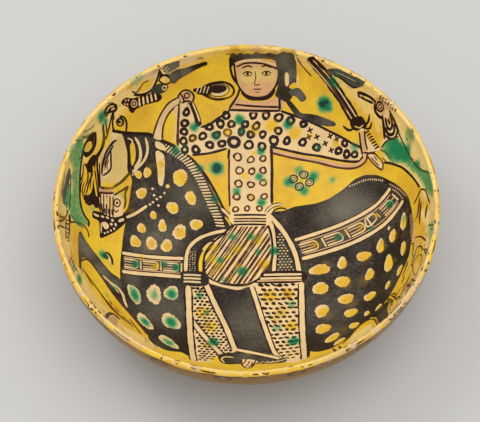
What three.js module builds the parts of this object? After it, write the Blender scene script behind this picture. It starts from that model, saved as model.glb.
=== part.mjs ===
// A wide pottery bowl with a low foot, thrown on a wheel and fired in one piece.
// Units are millimetres, +Z is up and the origin is on the surface that the foot stands on,
// below the middle of the bowl.
import * as THREE from 'three';

// Driving dimensions
const rimDiameter = 380;
const bowlHeight = 114;
const lipThickness = 5.6;
const wallThickness = 8.5;
const lipTaperDepth = 45;
const footDiameter = 152;
const footHeight = 6.5;
const footRingWidth = 15;
const footRecess = 2.5;
const footEdgeRadius = 1.6;

// The wall's outer curve: a higher belly power gives a flatter floor and a fuller shoulder,
// and a higher wall power makes the top of the wall more upright.
const bellyPower = 3.2;
const wallPower = 1.8;

// How far the rim has pulled out of round in drying and firing, and the direction of its long way
const rimWarp = 1.1;
const warpLobes = 2;
const warpBearing = THREE.MathUtils.degToRad(68);

// Fineness of the mesh
const bodySteps = 18;
const lipSteps = 6;
const footEdgeSteps = 2;
const roundSteps = 80;

const rimRadius = rimDiameter / 2;
const footRadius = footDiameter / 2;
const lipRadius = lipThickness / 2;
const lipCentreHeight = bowlHeight - lipRadius;
const bodyDepth = lipCentreHeight - footHeight;

// Height of the outer curve at a radius, and the radius at which it has a given height
function bodyHeight(radius) {
  const inward = Math.max(0, 1 - (radius / rimRadius) ** bellyPower);
  return lipCentreHeight - bodyDepth * inward ** (1 / wallPower);
}

function bodyRadius(height) {
  const down = (lipCentreHeight - height) / bodyDepth;
  return rimRadius * Math.max(0, 1 - down ** wallPower) ** (1 / bellyPower);
}

// Points of the outer curve from the axis to the lip, closer together where it turns up
function bodyPoint(share) {
  const turn = share * Math.PI / 2;
  const height = lipCentreHeight - bodyDepth * Math.cos(turn) ** (2 / wallPower);
  return new THREE.Vector2(bodyRadius(height), height);
}

function bodyNormal(share) {
  const step = 1e-4;
  const before = bodyPoint(Math.max(0, share - step));
  const after = bodyPoint(Math.min(1, share + step));
  const along = after.sub(before).normalize();
  return new THREE.Vector2(-along.y, along.x);
}

// The wall is thinnest at the lip and reaches its full thickness below the taper
function thicknessAt(height) {
  const taper = THREE.MathUtils.smoothstep(lipCentreHeight - height, 0, lipTaperDepth);
  return THREE.MathUtils.lerp(lipThickness, wallThickness, taper);
}

function outerWall() {
  const points = [];
  for (let step = 0; step <= bodySteps; step += 1) {
    const point = bodyPoint(step / bodySteps);
    if (point.x > footRadius + footEdgeRadius) {
      points.push(point);
    }
  }
  return points;
}

function innerWall() {
  const points = [];
  for (let step = bodySteps; step > 0; step -= 1) {
    const share = step / bodySteps;
    const point = bodyPoint(share);
    points.push(point.addScaledVector(bodyNormal(share), thicknessAt(point.y)));
  }
  points.push(new THREE.Vector2(0, footHeight + wallThickness));
  return points;
}

// The rounded lip joins the two walls across the top
function lip() {
  const points = [];
  for (let step = 1; step < lipSteps; step += 1) {
    const turn = Math.PI * step / lipSteps;
    points.push(new THREE.Vector2(
      rimRadius - lipRadius + lipRadius * Math.cos(turn),
      lipCentreHeight + lipRadius * Math.sin(turn),
    ));
  }
  return points;
}

// The underside is a flat ring around a slightly sunk middle, with a softened outer edge
function foot() {
  const ringInner = footRadius - footRingWidth;
  const points = [
    new THREE.Vector2(0, footRecess),
    new THREE.Vector2(ringInner - footRecess, footRecess),
    new THREE.Vector2(ringInner, 0),
  ];
  for (let step = 0; step <= footEdgeSteps; step += 1) {
    const turn = Math.PI / 2 * step / footEdgeSteps;
    points.push(new THREE.Vector2(
      footRadius - footEdgeRadius + footEdgeRadius * Math.sin(turn),
      footEdgeRadius - footEdgeRadius * Math.cos(turn),
    ));
  }
  points.push(new THREE.Vector2(footRadius, bodyHeight(footRadius)));
  return points;
}

// Pull the round bowl gently out of round, most at the rim and not at all at the foot
function warp(geometry) {
  const position = geometry.attributes.position;
  for (let index = 0; index < position.count; index += 1) {
    const x = position.getX(index);
    const y = position.getY(index);
    const radius = Math.hypot(x, y);
    const bearing = Math.atan2(y, x) - warpBearing;
    const lift = Math.max(0, (radius - footRadius) / (rimRadius - footRadius));
    const pull = 1 + rimWarp / rimRadius * lift * Math.cos(warpLobes * bearing);
    position.setXYZ(index, x * pull, y * pull, position.getZ(index));
  }
  return geometry;
}

function makeBowl() {
  const profile = [...foot(), ...outerWall(), ...lip(), ...innerWall()];
  const geometry = new THREE.LatheGeometry(profile, roundSteps);
  geometry.rotateX(Math.PI / 2);
  const glaze = new THREE.MeshStandardMaterial({ color: '#d9a826', roughness: 0.28, metalness: 0 });
  const bowl = new THREE.Mesh(warp(geometry), glaze);
  bowl.name = 'bowl';
  return bowl;
}

const model = new THREE.Group();
model.add(makeBowl());

export default model;
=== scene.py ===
# Painted pottery bowl: one closed mesh of fired clay. The painting is drawn as shapes on the inside of
# the bowl laid out flat, in millimetres from its middle, with u to the right and v up, and the mesh
# follows every painted outline.
import math
from types import SimpleNamespace

import bpy
import numpy as np
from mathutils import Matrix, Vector
from mathutils.geometry import delaunay_2d_cdt


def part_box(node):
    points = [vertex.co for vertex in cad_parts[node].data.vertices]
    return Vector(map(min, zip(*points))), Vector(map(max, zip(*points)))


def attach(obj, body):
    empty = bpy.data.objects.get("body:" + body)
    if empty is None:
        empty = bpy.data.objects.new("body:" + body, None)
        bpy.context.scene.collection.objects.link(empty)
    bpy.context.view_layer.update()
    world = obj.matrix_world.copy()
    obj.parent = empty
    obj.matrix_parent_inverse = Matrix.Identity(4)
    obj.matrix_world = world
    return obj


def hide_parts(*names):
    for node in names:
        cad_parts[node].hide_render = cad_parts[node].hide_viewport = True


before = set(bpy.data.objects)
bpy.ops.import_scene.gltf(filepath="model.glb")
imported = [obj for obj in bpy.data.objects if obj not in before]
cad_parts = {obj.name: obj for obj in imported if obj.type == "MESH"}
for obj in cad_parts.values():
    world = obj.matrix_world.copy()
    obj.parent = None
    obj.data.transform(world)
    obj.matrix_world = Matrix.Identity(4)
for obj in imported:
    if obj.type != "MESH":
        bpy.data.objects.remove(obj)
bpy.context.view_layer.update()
mm = 0.001
hand = np.random.default_rng(11)

# The thrown form, as in the solid. The rim's radius and the height come from the frame.
bowlLow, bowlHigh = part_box("bowl")
bowlShape = {
    "rimRadius": (bowlHigh[0] - bowlLow[0] + bowlHigh[1] - bowlLow[1]) / 4 / mm,
    "height": bowlHigh[2] / mm,
    "lipThickness": 5.6,
    "wallThickness": 8.5,
    "lipTaperDepth": 45,
    "footRadius": 76,
    "footHeight": 6.5,
    "footRingWidth": 15,
    "footRecess": 2.5,
    "bellyPower": 3.2,
    "wallPower": 1.8,
    "rimWarp": 1.1,
    "warpBearing": math.radians(68),
    "lipUnevenness": 0.5,
    "insideSolid": 0.9995,
}
meshFineness = {
    "rimPoints": 480,
    "insideSpacing": 2.95,
    "outsideSpacing": 5.2,
    "lipStep": 0.7,
    "lipBand": 6.5,
    "fillGap": 7,
    "paintGap": 0.9,
    "strokeStep": 1.65,
}


def bodyCurve(count):
    shape = bowlShape
    lipCentre = shape["height"] - shape["lipThickness"] / 2
    depth = lipCentre - shape["footHeight"]
    turn = np.linspace(0, math.pi / 2, count)
    height = lipCentre - depth * np.cos(turn) ** (2 / shape["wallPower"])
    down = (lipCentre - height) / depth
    inward = np.maximum(0, 1 - down ** shape["wallPower"])
    return np.column_stack([shape["rimRadius"] * inward ** (1 / shape["bellyPower"]), height])


def lipArc(start, end, count):
    radius = bowlShape["lipThickness"] / 2
    turn = np.linspace(start, end, count)
    centre = np.array([bowlShape["rimRadius"] - radius, bowlShape["height"] - radius])
    return centre + radius * np.column_stack([np.cos(turn), np.sin(turn)])


def insideProfile():
    outer = bodyCurve(900)
    along = np.gradient(outer, axis=0)
    along /= np.linalg.norm(along, axis=1)[:, None]
    share = np.clip((outer[-1, 1] - outer[:, 1]) / bowlShape["lipTaperDepth"], 0, 1)
    taper = share * share * (3 - 2 * share)
    thickness = bowlShape["lipThickness"] + (bowlShape["wallThickness"] - bowlShape["lipThickness"]) * taper
    inner = outer + np.column_stack([-along[:, 1], along[:, 0]]) * thickness[:, None]
    inner[0, 0] = 0
    return np.vstack([inner[:-1], lipArc(math.pi, math.pi / 2, 24)])


def softCorner(before, corner, after, reach):
    back = (before - corner) / np.linalg.norm(before - corner)
    on = (after - corner) / np.linalg.norm(after - corner)
    t = np.linspace(0, 1, 9)[:, None]
    start, stop = corner + back * reach, corner + on * reach
    return (1 - t) ** 2 * start + 2 * t * (1 - t) * corner + t ** 2 * stop


def outsideProfile():
    shape = bowlShape
    wall = bodyCurve(900)
    wall = wall[wall[:, 0] > shape["footRadius"]]
    ringInner = shape["footRadius"] - shape["footRingWidth"]
    corners = np.array([
        [0, shape["footRecess"]],
        [ringInner - shape["footRecess"], shape["footRecess"]],
        [ringInner, 0],
        [shape["footRadius"], 0],
        [shape["footRadius"], wall[0, 1]],
        wall[40],
    ])
    points = [corners[:1]]
    for index, reach in ((1, 1.4), (2, 1.2), (3, 1.6), (4, 2.2)):
        points.append(softCorner(corners[index - 1], corners[index], corners[index + 1], reach))
    points.append(wall[40:-1])
    points.append(lipArc(0, math.pi / 2, 24))
    return np.vstack(points)


# One face of the bowl laid out flat, from its middle to the top of the lip
def makeSide(profile, facing):
    side = SimpleNamespace(shapes=[], washes=[], spots=[])
    steps = np.linalg.norm(np.diff(profile, axis=0), axis=1)
    arc = np.concatenate([[0], np.cumsum(steps)])
    side.reach = arc[-1]
    side.arc = np.linspace(0, side.reach, 1500)
    side.radius = np.interp(side.arc, arc, profile[:, 0])
    side.height = np.interp(side.arc, arc, profile[:, 1])
    slopeR = np.gradient(side.radius, side.arc)
    slopeZ = np.gradient(side.height, side.arc)
    side.normalR = -slopeZ * facing
    side.normalZ = slopeR * facing
    return side


inside = makeSide(insideProfile(), 1)
outside = makeSide(outsideProfile(), -1)
page = inside
print("laid out: inside", round(inside.reach, 1), "mm, outside", round(outside.reach, 1),
      "mm from middle to lip")

# Paints as they look on the fired pot. The last value says how much a paint is the dark slip.
paints = {
    "ground": ((255, 224, 150), 0),
    "cream": ((240, 206, 150), 0),
    "buff": ((222, 172, 122), 0),
    "tan": ((226, 194, 120), 0),
    "brown": ((88, 42, 22), 0.7),
    "line": ((40, 18, 10), 0.86),
    "black": ((40, 31, 22), 1),
    "grey": ((84, 80, 74), 1),
    "clay": ((206, 160, 118), 0),
    "plum": ((88, 56, 52), 0.7),
    "inkBlue": ((12, 32, 52), 0.86),
    "olive": ((98, 74, 12), 0),
    "slate": ((76, 86, 80), 0.86),
    # amber glaze of the outside wall, made darker so that it also stands for the wall's shade
    "amberAndShade": ((136, 95, 12), 0),
}


# Brush tools
def onRim(bearing, distance):
    angle = math.radians(bearing)
    return (distance * math.cos(angle), distance * math.sin(angle))


def curveThrough(points, closed=False, step=None):
    step = step or meshFineness["strokeStep"]
    p = np.asarray(points, float)
    count = len(p)
    last = count if closed else count - 1
    out = []
    for i in range(last):
        a = p[(i - 1) % count] if closed or i > 0 else 2 * p[0] - p[1]
        b = p[i]
        c = p[(i + 1) % count]
        d = p[(i + 2) % count] if closed or i + 2 < count else 2 * p[-1] - p[-2]
        pieces = max(1, int(round(np.linalg.norm(c - b) / step)))
        t = (np.arange(pieces) / pieces)[:, None]
        out.append(0.5 * (2 * b + (c - a) * t + (2 * a - 5 * b + 4 * c - d) * t ** 2
                          + (3 * b - a - 3 * c + d) * t ** 3))
    if not closed:
        out.append(p[-1:])
    return np.vstack(out)


# A slow waver, as of a brush held by hand
def wobble(count, size):
    along = np.arange(count) * meshFineness["strokeStep"]
    phase = hand.uniform(0, 6.28, 3)
    wave = np.sin(along / 4.7 + phase[0]) + 0.7 * np.sin(along / 2.1 + phase[1])
    return size * (wave + 0.4 * np.sin(along + phase[2])) / 2


def lay(colour, *loops):
    page.shapes.append((colour, [np.asarray(loop, float) for loop in loops]))


def area(colour, points, rough=0.25):
    loop = curveThrough(points, closed=True)
    loop = loop + np.column_stack([wobble(len(loop), rough), wobble(len(loop), rough)])
    lay(colour, loop)
    return loop


def stroke(colour, points, width=2.6, ends=0.5, curved=True, rough=0.12):
    path = curveThrough(points) if curved else np.asarray(points, float)
    if len(path) < 4:
        path = curveThrough(path, step=max(0.4, width / 3))
    run = np.concatenate([[0], np.cumsum(np.linalg.norm(np.diff(path, axis=0), axis=1))])
    nearEnd = np.array([0.12, 0.3]) * width  # so that round ends have enough points
    marks = np.unique(np.concatenate([run, nearEnd, run[-1] - nearEnd]))
    marks = marks[(marks >= 0) & (marks <= run[-1])]
    path = np.column_stack([np.interp(marks, run, path[:, 0]), np.interp(marks, run, path[:, 1])])
    along = np.gradient(path, axis=0)
    along /= np.maximum(1e-9, np.linalg.norm(along, axis=1))[:, None]
    toEnd = np.minimum(marks, run[-1] - marks) / max(0.1, ends * width)
    half = width / 2 * np.sqrt(1 - (1 - np.clip(toEnd, 0, 1)) ** 2)
    half = half * (1 + wobble(len(path), rough))
    across = np.column_stack([-along[:, 1], along[:, 0]]) * half[:, None]
    lay(colour, np.vstack([(path + across)[:-1], (path - across)[:0:-1]]))


def oval(centre, size, turn=0, rough=0.06, fewest=9):
    count = max(fewest, int(math.pi * sum(size) / meshFineness["strokeStep"]))
    angle = np.arange(count) * 2 * math.pi / count
    waves = 0.6 * np.sin(2 * angle + hand.uniform(0, 6))
    waves += 0.5 * np.sin(3 * angle + hand.uniform(0, 6))
    grow = 1 + rough * waves
    grow += rough * hand.uniform(-0.6, 0.6, count)
    x = size[0] * grow * np.cos(angle)
    y = size[1] * grow * np.sin(angle)
    c, s = math.cos(math.radians(turn)), math.sin(math.radians(turn))
    return np.column_stack([centre[0] + c * x - s * y, centre[1] + s * x + c * y])


def dab(colour, centre, size, turn=0, rough=0.06):
    lay(colour, oval(centre, size, turn, rough))


def strokes(colour, width, *paths, ends=1.5):
    for path in paths:
        stroke(colour, path, width, ends)


def ring(colour, centre, size, width, turn=0, rough=0.05):
    outer = oval(centre, size, turn, rough)
    inner = oval(centre, (size[0] - width, size[1] - width), turn, rough)
    lay(colour, outer, inner[::-1])


def outlined(fill, edge, points, width=2.4):
    loop = curveThrough(points, closed=True)
    lay(fill, loop)
    closedStroke(edge, loop, width)


def closedStroke(colour, loop, width):
    before = np.roll(loop, 1, axis=0)
    after = np.roll(loop, -1, axis=0)
    along = after - before
    along /= np.maximum(1e-9, np.linalg.norm(along, axis=1))[:, None]
    half = width / 2 * (1 + wobble(len(loop), 0.15))
    across = np.column_stack([-along[:, 1], along[:, 0]]) * half[:, None]
    lay(colour, loop - across, (loop + across)[::-1])


def edged(fill, edge, points, width, edgeWidth=1.5, ends=0.5):
    stroke(edge, points, width + 2 * edgeWidth, ends)
    stroke(fill, points, width, ends)


# Which points lie inside an outline, with holes where a second loop runs the other way
def insideLoops(points, loops):
    turns = np.zeros(len(points), int)
    x, y = points[:, 0], points[:, 1]
    for loop in loops:
        for (ax, ay), (bx, by) in zip(loop, np.roll(loop, -1, axis=0)):
            if ay == by:
                continue
            left = (bx - ax) * (y - ay) - (x - ax) * (by - ay)
            turns += ((ay <= y) & (by > y) & (left > 0)).astype(int)
            turns -= ((ay > y) & (by <= y) & (left < 0)).astype(int)
    return turns != 0


# Parallel brush lines clipped to an outline
def hatch(colour, loop, turn, spacing, width, shift=0.0, slant=0.0):
    loop = np.asarray(loop, float)
    middle = loop.mean(axis=0)
    reach = np.linalg.norm(loop - middle, axis=1).max()
    along = np.array([math.cos(math.radians(turn)), math.sin(math.radians(turn))])
    across = np.array([-along[1], along[0]])
    for offset in np.arange(-reach + shift, reach, spacing):
        t = np.arange(-reach, reach, 1.0)
        jitter = hand.uniform(-0.15, 0.15) * spacing
        line = middle + np.outer(t, along) + np.outer(offset + jitter + slant * t / reach, across)
        within = insideLoops(line, [loop])
        runs = np.flatnonzero(np.diff(np.concatenate([[0], within.astype(int), [0]])))
        for start, stop in zip(runs[::2], runs[1::2]):
            if stop - start > 3:
                path = line[start:stop:3] if stop - start > 9 else line[[start, stop - 1]]
                stroke(colour, path, width, rough=0.25)


# Staggered small dabs inside an outline
def netting(colour, loop, spacing, size, turn):
    loop = np.asarray(loop, float)
    low, high = loop.min(axis=0), loop.max(axis=0)
    rows = np.arange(low[1], high[1], spacing[1])
    for rowNumber, v in enumerate(rows):
        us = np.arange(low[0] + (rowNumber % 2) * spacing[0] / 2, high[0], spacing[0])
        spots = np.column_stack([us, np.full(len(us), v)]) + hand.uniform(-0.45, 0.45, (len(us), 2))
        for spot in spots[insideLoops(spots, [loop])]:
            dab(colour, spot, (size[0] * hand.uniform(0.75, 1.25), size[1] * hand.uniform(0.8, 1.2)),
                turn + hand.uniform(-25, 25), 0.12)


# Glaze colours that ran softly in the kiln: green, yellow, cream (where the yellow stops) and haze
# (where the dark slip went grey, together with a painted sheen of light on the dark slip).
def wash(kind, points, strength=1.0):
    page.washes.append((kind, curveThrough(points, closed=True, step=4), strength))


def bleed(kind, *spots):
    for u, v, radius, strength in spots:
        page.spots.append((kind, u, v, radius, radius, 0, strength))


def bleedOval(kind, centre, size, turn, strength):
    page.spots.append((kind, *centre, *size, turn, strength))


# The horse
horseShape = {
    "front": [(-107, 119), (-88, 119), (-72, 112), (-57, 104), (-45, 90), (-37, 74), (-28, 54), (-18, 44),
              (-14, 38), (-18, 26), (-40, 20), (-55, 8), (-61, -6), (-61, -44), (-57, -100), (-55, -142),
              (-66, -138), (-80, -141), (-92, -137), (-99, -130), (-101, -119), (-105, -107), (-113, -95),
              (-121, -80), (-127, -62), (-130, -46), (-130, -20), (-128, 10), (-126, 32), (-122, 52),
              (-122, 74), (-124, 82), (-114, 92), (-109, 105)],
    "rump": [(23, 42), (30, 46), (40, 47), (51, 51), (75, 54), (88, 58), (95, 62), (103, 66), (110, 71),
             (118, 75), (128, 76.5), (140, 73.5), (150, 68), (160, 60), (170, 50), (178, 39), (182, 26),
             (184, 10), (184, -4), (182, -16), (179, -28), (176, -40), (170, -52), (163, -64), (156, -77),
             (148, -89), (138, -100), (128, -109), (118, -119), (108, -128), (98, -136), (88, -141),
             (74, -141), (63, -135), (58, -128), (57, -32), (50, -10), (40, 12), (28, 34)],
    "maneBand": [(-92, 116), (-76, 110), (-62, 101), (-51, 87), (-43, 71), (-36, 54), (-30, 40), (-27, 29)],
    "neckDots": [(-70, 83, 8, 9, 0), (-58, 61, 5.5, 8, 10), (-52, 30, 6.5, 6.5, 0), (-69, 20, 7, 8.5, 0),
                 (-77, 48, 6.5, 6.5, 0), (-87, 26, 4.5, 7, 0), (-82, 3, 6, 7.5, 0), (-98, 4, 5.5, 8, 0),
                 (-115, 3, 5.5, 7, 0), (-109, 20, 4.5, 5.5, 0), (-111, 60, 5.5, 6.5, -20),
                 (-97, 37, 3.6, 4.6, 0), (-106, 84, 4.2, 6, 0), (-116, 80, 4.5, 4.5, 30),
                 (-83, 72, 2.2, 2.2, 0)],
    "chestOvals": [(-114, -63, 6.2, 13, 15), (-93.5, -58.5, 7.4, 12.5, 12), (-76, -54, 7.2, 8.8, 0),
                   (-103, -98.5, 6.5, 11.5, 30), (-76, -91, 8.5, 11.3, 20), (-79, -123, 6.6, 11.5, 48)],
    "rumpDots": [(75, -25, 10, 6.5, 8), (98, -20, 5, 6.8, 0), (121, -16, 7.5, 5.8, -10),
                 (140, -9, 4.6, 8, -5), (155, -2, 4, 8, -5), (170, 9, 4.3, 9.5, -6),
                 (168, -24, 3.3, 9.5, -6), (149, -35, 5, 11, -8), (127, -41, 5, 7.2, -15),
                 (98, -43, 7.6, 7, 0), (75, -48, 8.6, 7, 25), (101, -66, 7.6, 7, 0),
                 (127, -71, 6.8, 5.6, 10), (148, -65, 3, 5.4, -20), (163, -52, 3, 7, -18),
                 (76, -77, 8.6, 7, 45), (106, -87, 7.8, 5.6, 5), (77, -102, 8.4, 6.4, 15),
                 (110, -109, 5.8, 5.2, 20), (87, -120, 8.6, 5.6, 30), (95, -131, 7, 4, 35),
                 (138, -95, 3, 5.8, -35), (151, 9, 1.4, 2.4, -10), (124, -96, 3, 4, 0)],
    "pits": 150,
    "pitBoxes": ((-120, -60, -130, 100), (60, 165, -120, 40)),
}


def paintSpots(spots, inner, fill, drift, strength):
    for u, v, wide, high, turn in spots:
        dab("cream", (u, v), (wide, high), turn, 0.13)
        shift = hand.uniform(0.5, 1.3) * np.array(drift)
        size = (fill * wide * hand.uniform(0.85, 1.1), fill * high * hand.uniform(0.85, 1.1))
        bleedOval(inner, (u + shift[0], v + shift[1]), size, turn, strength * hand.uniform(0.8, 1.2))


def paintMane():
    path = curveThrough(horseShape["maneBand"], step=3.4)
    along = np.gradient(path, axis=0)
    along /= np.linalg.norm(along, axis=1)[:, None]
    across = np.column_stack([-along[:, 1], along[:, 0]])
    for place, side, on in zip(path, across, along):
        stroke("cream", [place - side * 4.6 - on * 1.5, place + side * 4.4 + on * 1.5], 1.6, rough=0.2)
    bleed("green", (-76, 112, 6, 0.9), (-49, 95, 6, 0.8), (-33, 61, 6, 0.9))


def paintHorseBody():
    area("black", horseShape["front"])
    area("black", horseShape["rump"])
    strokes("line", 3, [(-14, 39), (-22, 47), (-32, 68), (-42, 86), (-56, 103), (-72, 113)])
    paintMane()
    paintSpots(horseShape["neckDots"], "yellow", 0.84, (1.2, -0.8), 1.1)
    paintSpots(horseShape["chestOvals"], "green", 0.84, (0.4, -0.8), 0.84)
    paintSpots(horseShape["rumpDots"], "yellow", 0.9, (1.7, -1.2), 1.25)
    for u, v in ((-94, 56), (-90, 59), (-98, 52), (-86, 64), (-101, 49), (-99, 67), (-92, 49), (-97, 60)):
        dab("cream", (u, v), (1.5, 1.3), 30)
    bleed("yellow", (-105, 92, 5, 0.5), (-107, 68, 5, 0.5))
    # grey haze on the dark slip; the three spots on the rump are a painted sheen of light
    bleed("hazeAndSheen", (105, 45, 22, 0.95), (122, 42, 14, 0.7), (84, 36, 12, 0.5), (-60, 62, 24, 0.45),
          (-88, 8, 26, 0.5), (-84, -75, 26, 0.5), (-116, -45, 10, 0.5), (78, -78, 26, 0.3),
          (96, -100, 20, 0.2))
    bleed("yellow", (82, -20, 7, 0.7), (104, -50, 6, 0.6), (121, -48, 8, 0.7), (156, -35, 5, 0.6),
          (106, -74, 8, 0.7), (82, -85, 7, 0.7), (99, -112, 9, 0.6), (146, -12, 5, 0.5), (160, -4, 4, 0.5),
          (170, -6, 5, 0.5), (152, -61, 4, 0.4), (-103, -2, 7, 0.6), (-58, 70, 6, 0.6), (-68, 31, 5, 0.5),
          (-104, 90, 5, 0.6), (-106, 22, 5, 0.4), (-118, 0, 5, 0.4))
    bleed("green", (171, 12, 6, 0.55))
    # pits where the slip broke away
    for _ in range(horseShape["pits"]):
        box = horseShape["pitBoxes"][hand.integers(2)]
        spot = (hand.uniform(box[0], box[1]), hand.uniform(box[2], box[3]))
        dab("grey", spot, (hand.uniform(0.4, 0.9), hand.uniform(0.4, 0.8)), 0, 0.2)


def paintRumpEdge():
    edge = curveThrough([(110, 68), (128, 71), (141, 68), (148, 65)], step=2.6)
    for place in edge:
        stroke("cream", [place - (0.3, 1.1), place + (0.3, 1.1)], 1.1, rough=0.2)
    for points in ([(157, 58), (164, 52), (170, 46), (176, 38)], [(160, 51), (166, 45), (171, 37)]):
        for place in curveThrough(points, step=3):
            dab("buff", place, (0.8, 1.1), 20, 0.1)
    for place in curveThrough([(182, 12), (182.5, 0), (182, -14), (184, -24)], step=3):
        stroke("buff", [place + (-3, -1.4), place + (0.3, 0), place + (3.4, -1.6)], 1.0)


# A harness band of two piped edges with pointed cells between them
def paintBand(upper, lower, cells, tints):
    edged("cream", "line", upper, 3.8, 1.2)
    edged("cream", "line", lower, 4.2, 1.2)
    high = curveThrough(upper, step=2)
    low = curveThrough(lower, step=2)
    share = np.linspace(0, 1, 60)
    high = np.column_stack([np.interp(share, np.linspace(0, 1, len(high)), high[:, k]) for k in (0, 1)])
    low = np.column_stack([np.interp(share, np.linspace(0, 1, len(low)), low[:, k]) for k in (0, 1)])

    def across(k, lean):
        k = min(59, max(0, k))
        return high[k] + (low[k] - high[k]) * lean

    for lean in (0.19, 0.81):
        stroke("buff", [across(k, lean) for k in range(2, 58, 6)], 1.1)
    for (start, stop), tint in zip(cells, tints):
        first, last = int(start * 59), int(stop * 59)
        for inset, colour, width in ((0.0, "cream", 1.9), (0.13, "buff", 1.3)):
            top, bottom = 0.29 + inset, 0.71 - inset
            tip = last - int(inset * 14)
            path = [across(first, top), across((first + tip) // 2, top), across(tip - 1, top + 0.02),
                    across(tip, 0.5), across(tip - 1, bottom - 0.02), across((first + tip) // 2, bottom),
                    across(first, bottom)]
            stroke(colour, path, width)
        stroke("cream", [across(last + 3, 0.26), across(last + 3, 0.74)], 1.7)
        place = across(last - 2, 0.5)
        bleed(tint, (place[0], place[1], 5.5, 0.95))


def paintHarness():
    paintBand([(-129, -14), (-112, -13), (-90, -12), (-64, -11)],
              [(-128, -37), (-110, -35), (-88, -33), (-64, -33)],
              ((0.04, 0.28), (0.36, 0.6), (0.69, 0.92)), ("green", "yellow", "green"))
    paintBand([(50, 11.5), (75, 19), (105, 28), (135, 39), (148, 47), (157, 54)],
              [(57, -11), (85, -4), (115, 4), (145, 15), (165, 28), (172, 34)],
              ((0.02, 0.17), (0.24, 0.4), (0.46, 0.6), (0.78, 0.93)),
              ("yellow", "green", "yellow", "green"))
    strokes("cream", 1.6, [(124, 27), (134, 31), (137, 24), (127, 18), (124, 27)], [(137, 31), (142, 25)])
    strokes("buff", 2, [(146, 32), (154, 38), (161, 43)], [(150, 26), (158, 31), (164, 37)])
    bleed("yellow", (-108, -15, 4, 0.8), (138, 28, 5, 0.9), (102, 16, 5, 0.7), (75, 5, 5, 0.8))
    bleed("green", (-84, -20, 5, 0.9), (131, 15, 4, 0.8), (96, 11, 5, 0.6), (158, 37, 4, 0.8))


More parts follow.
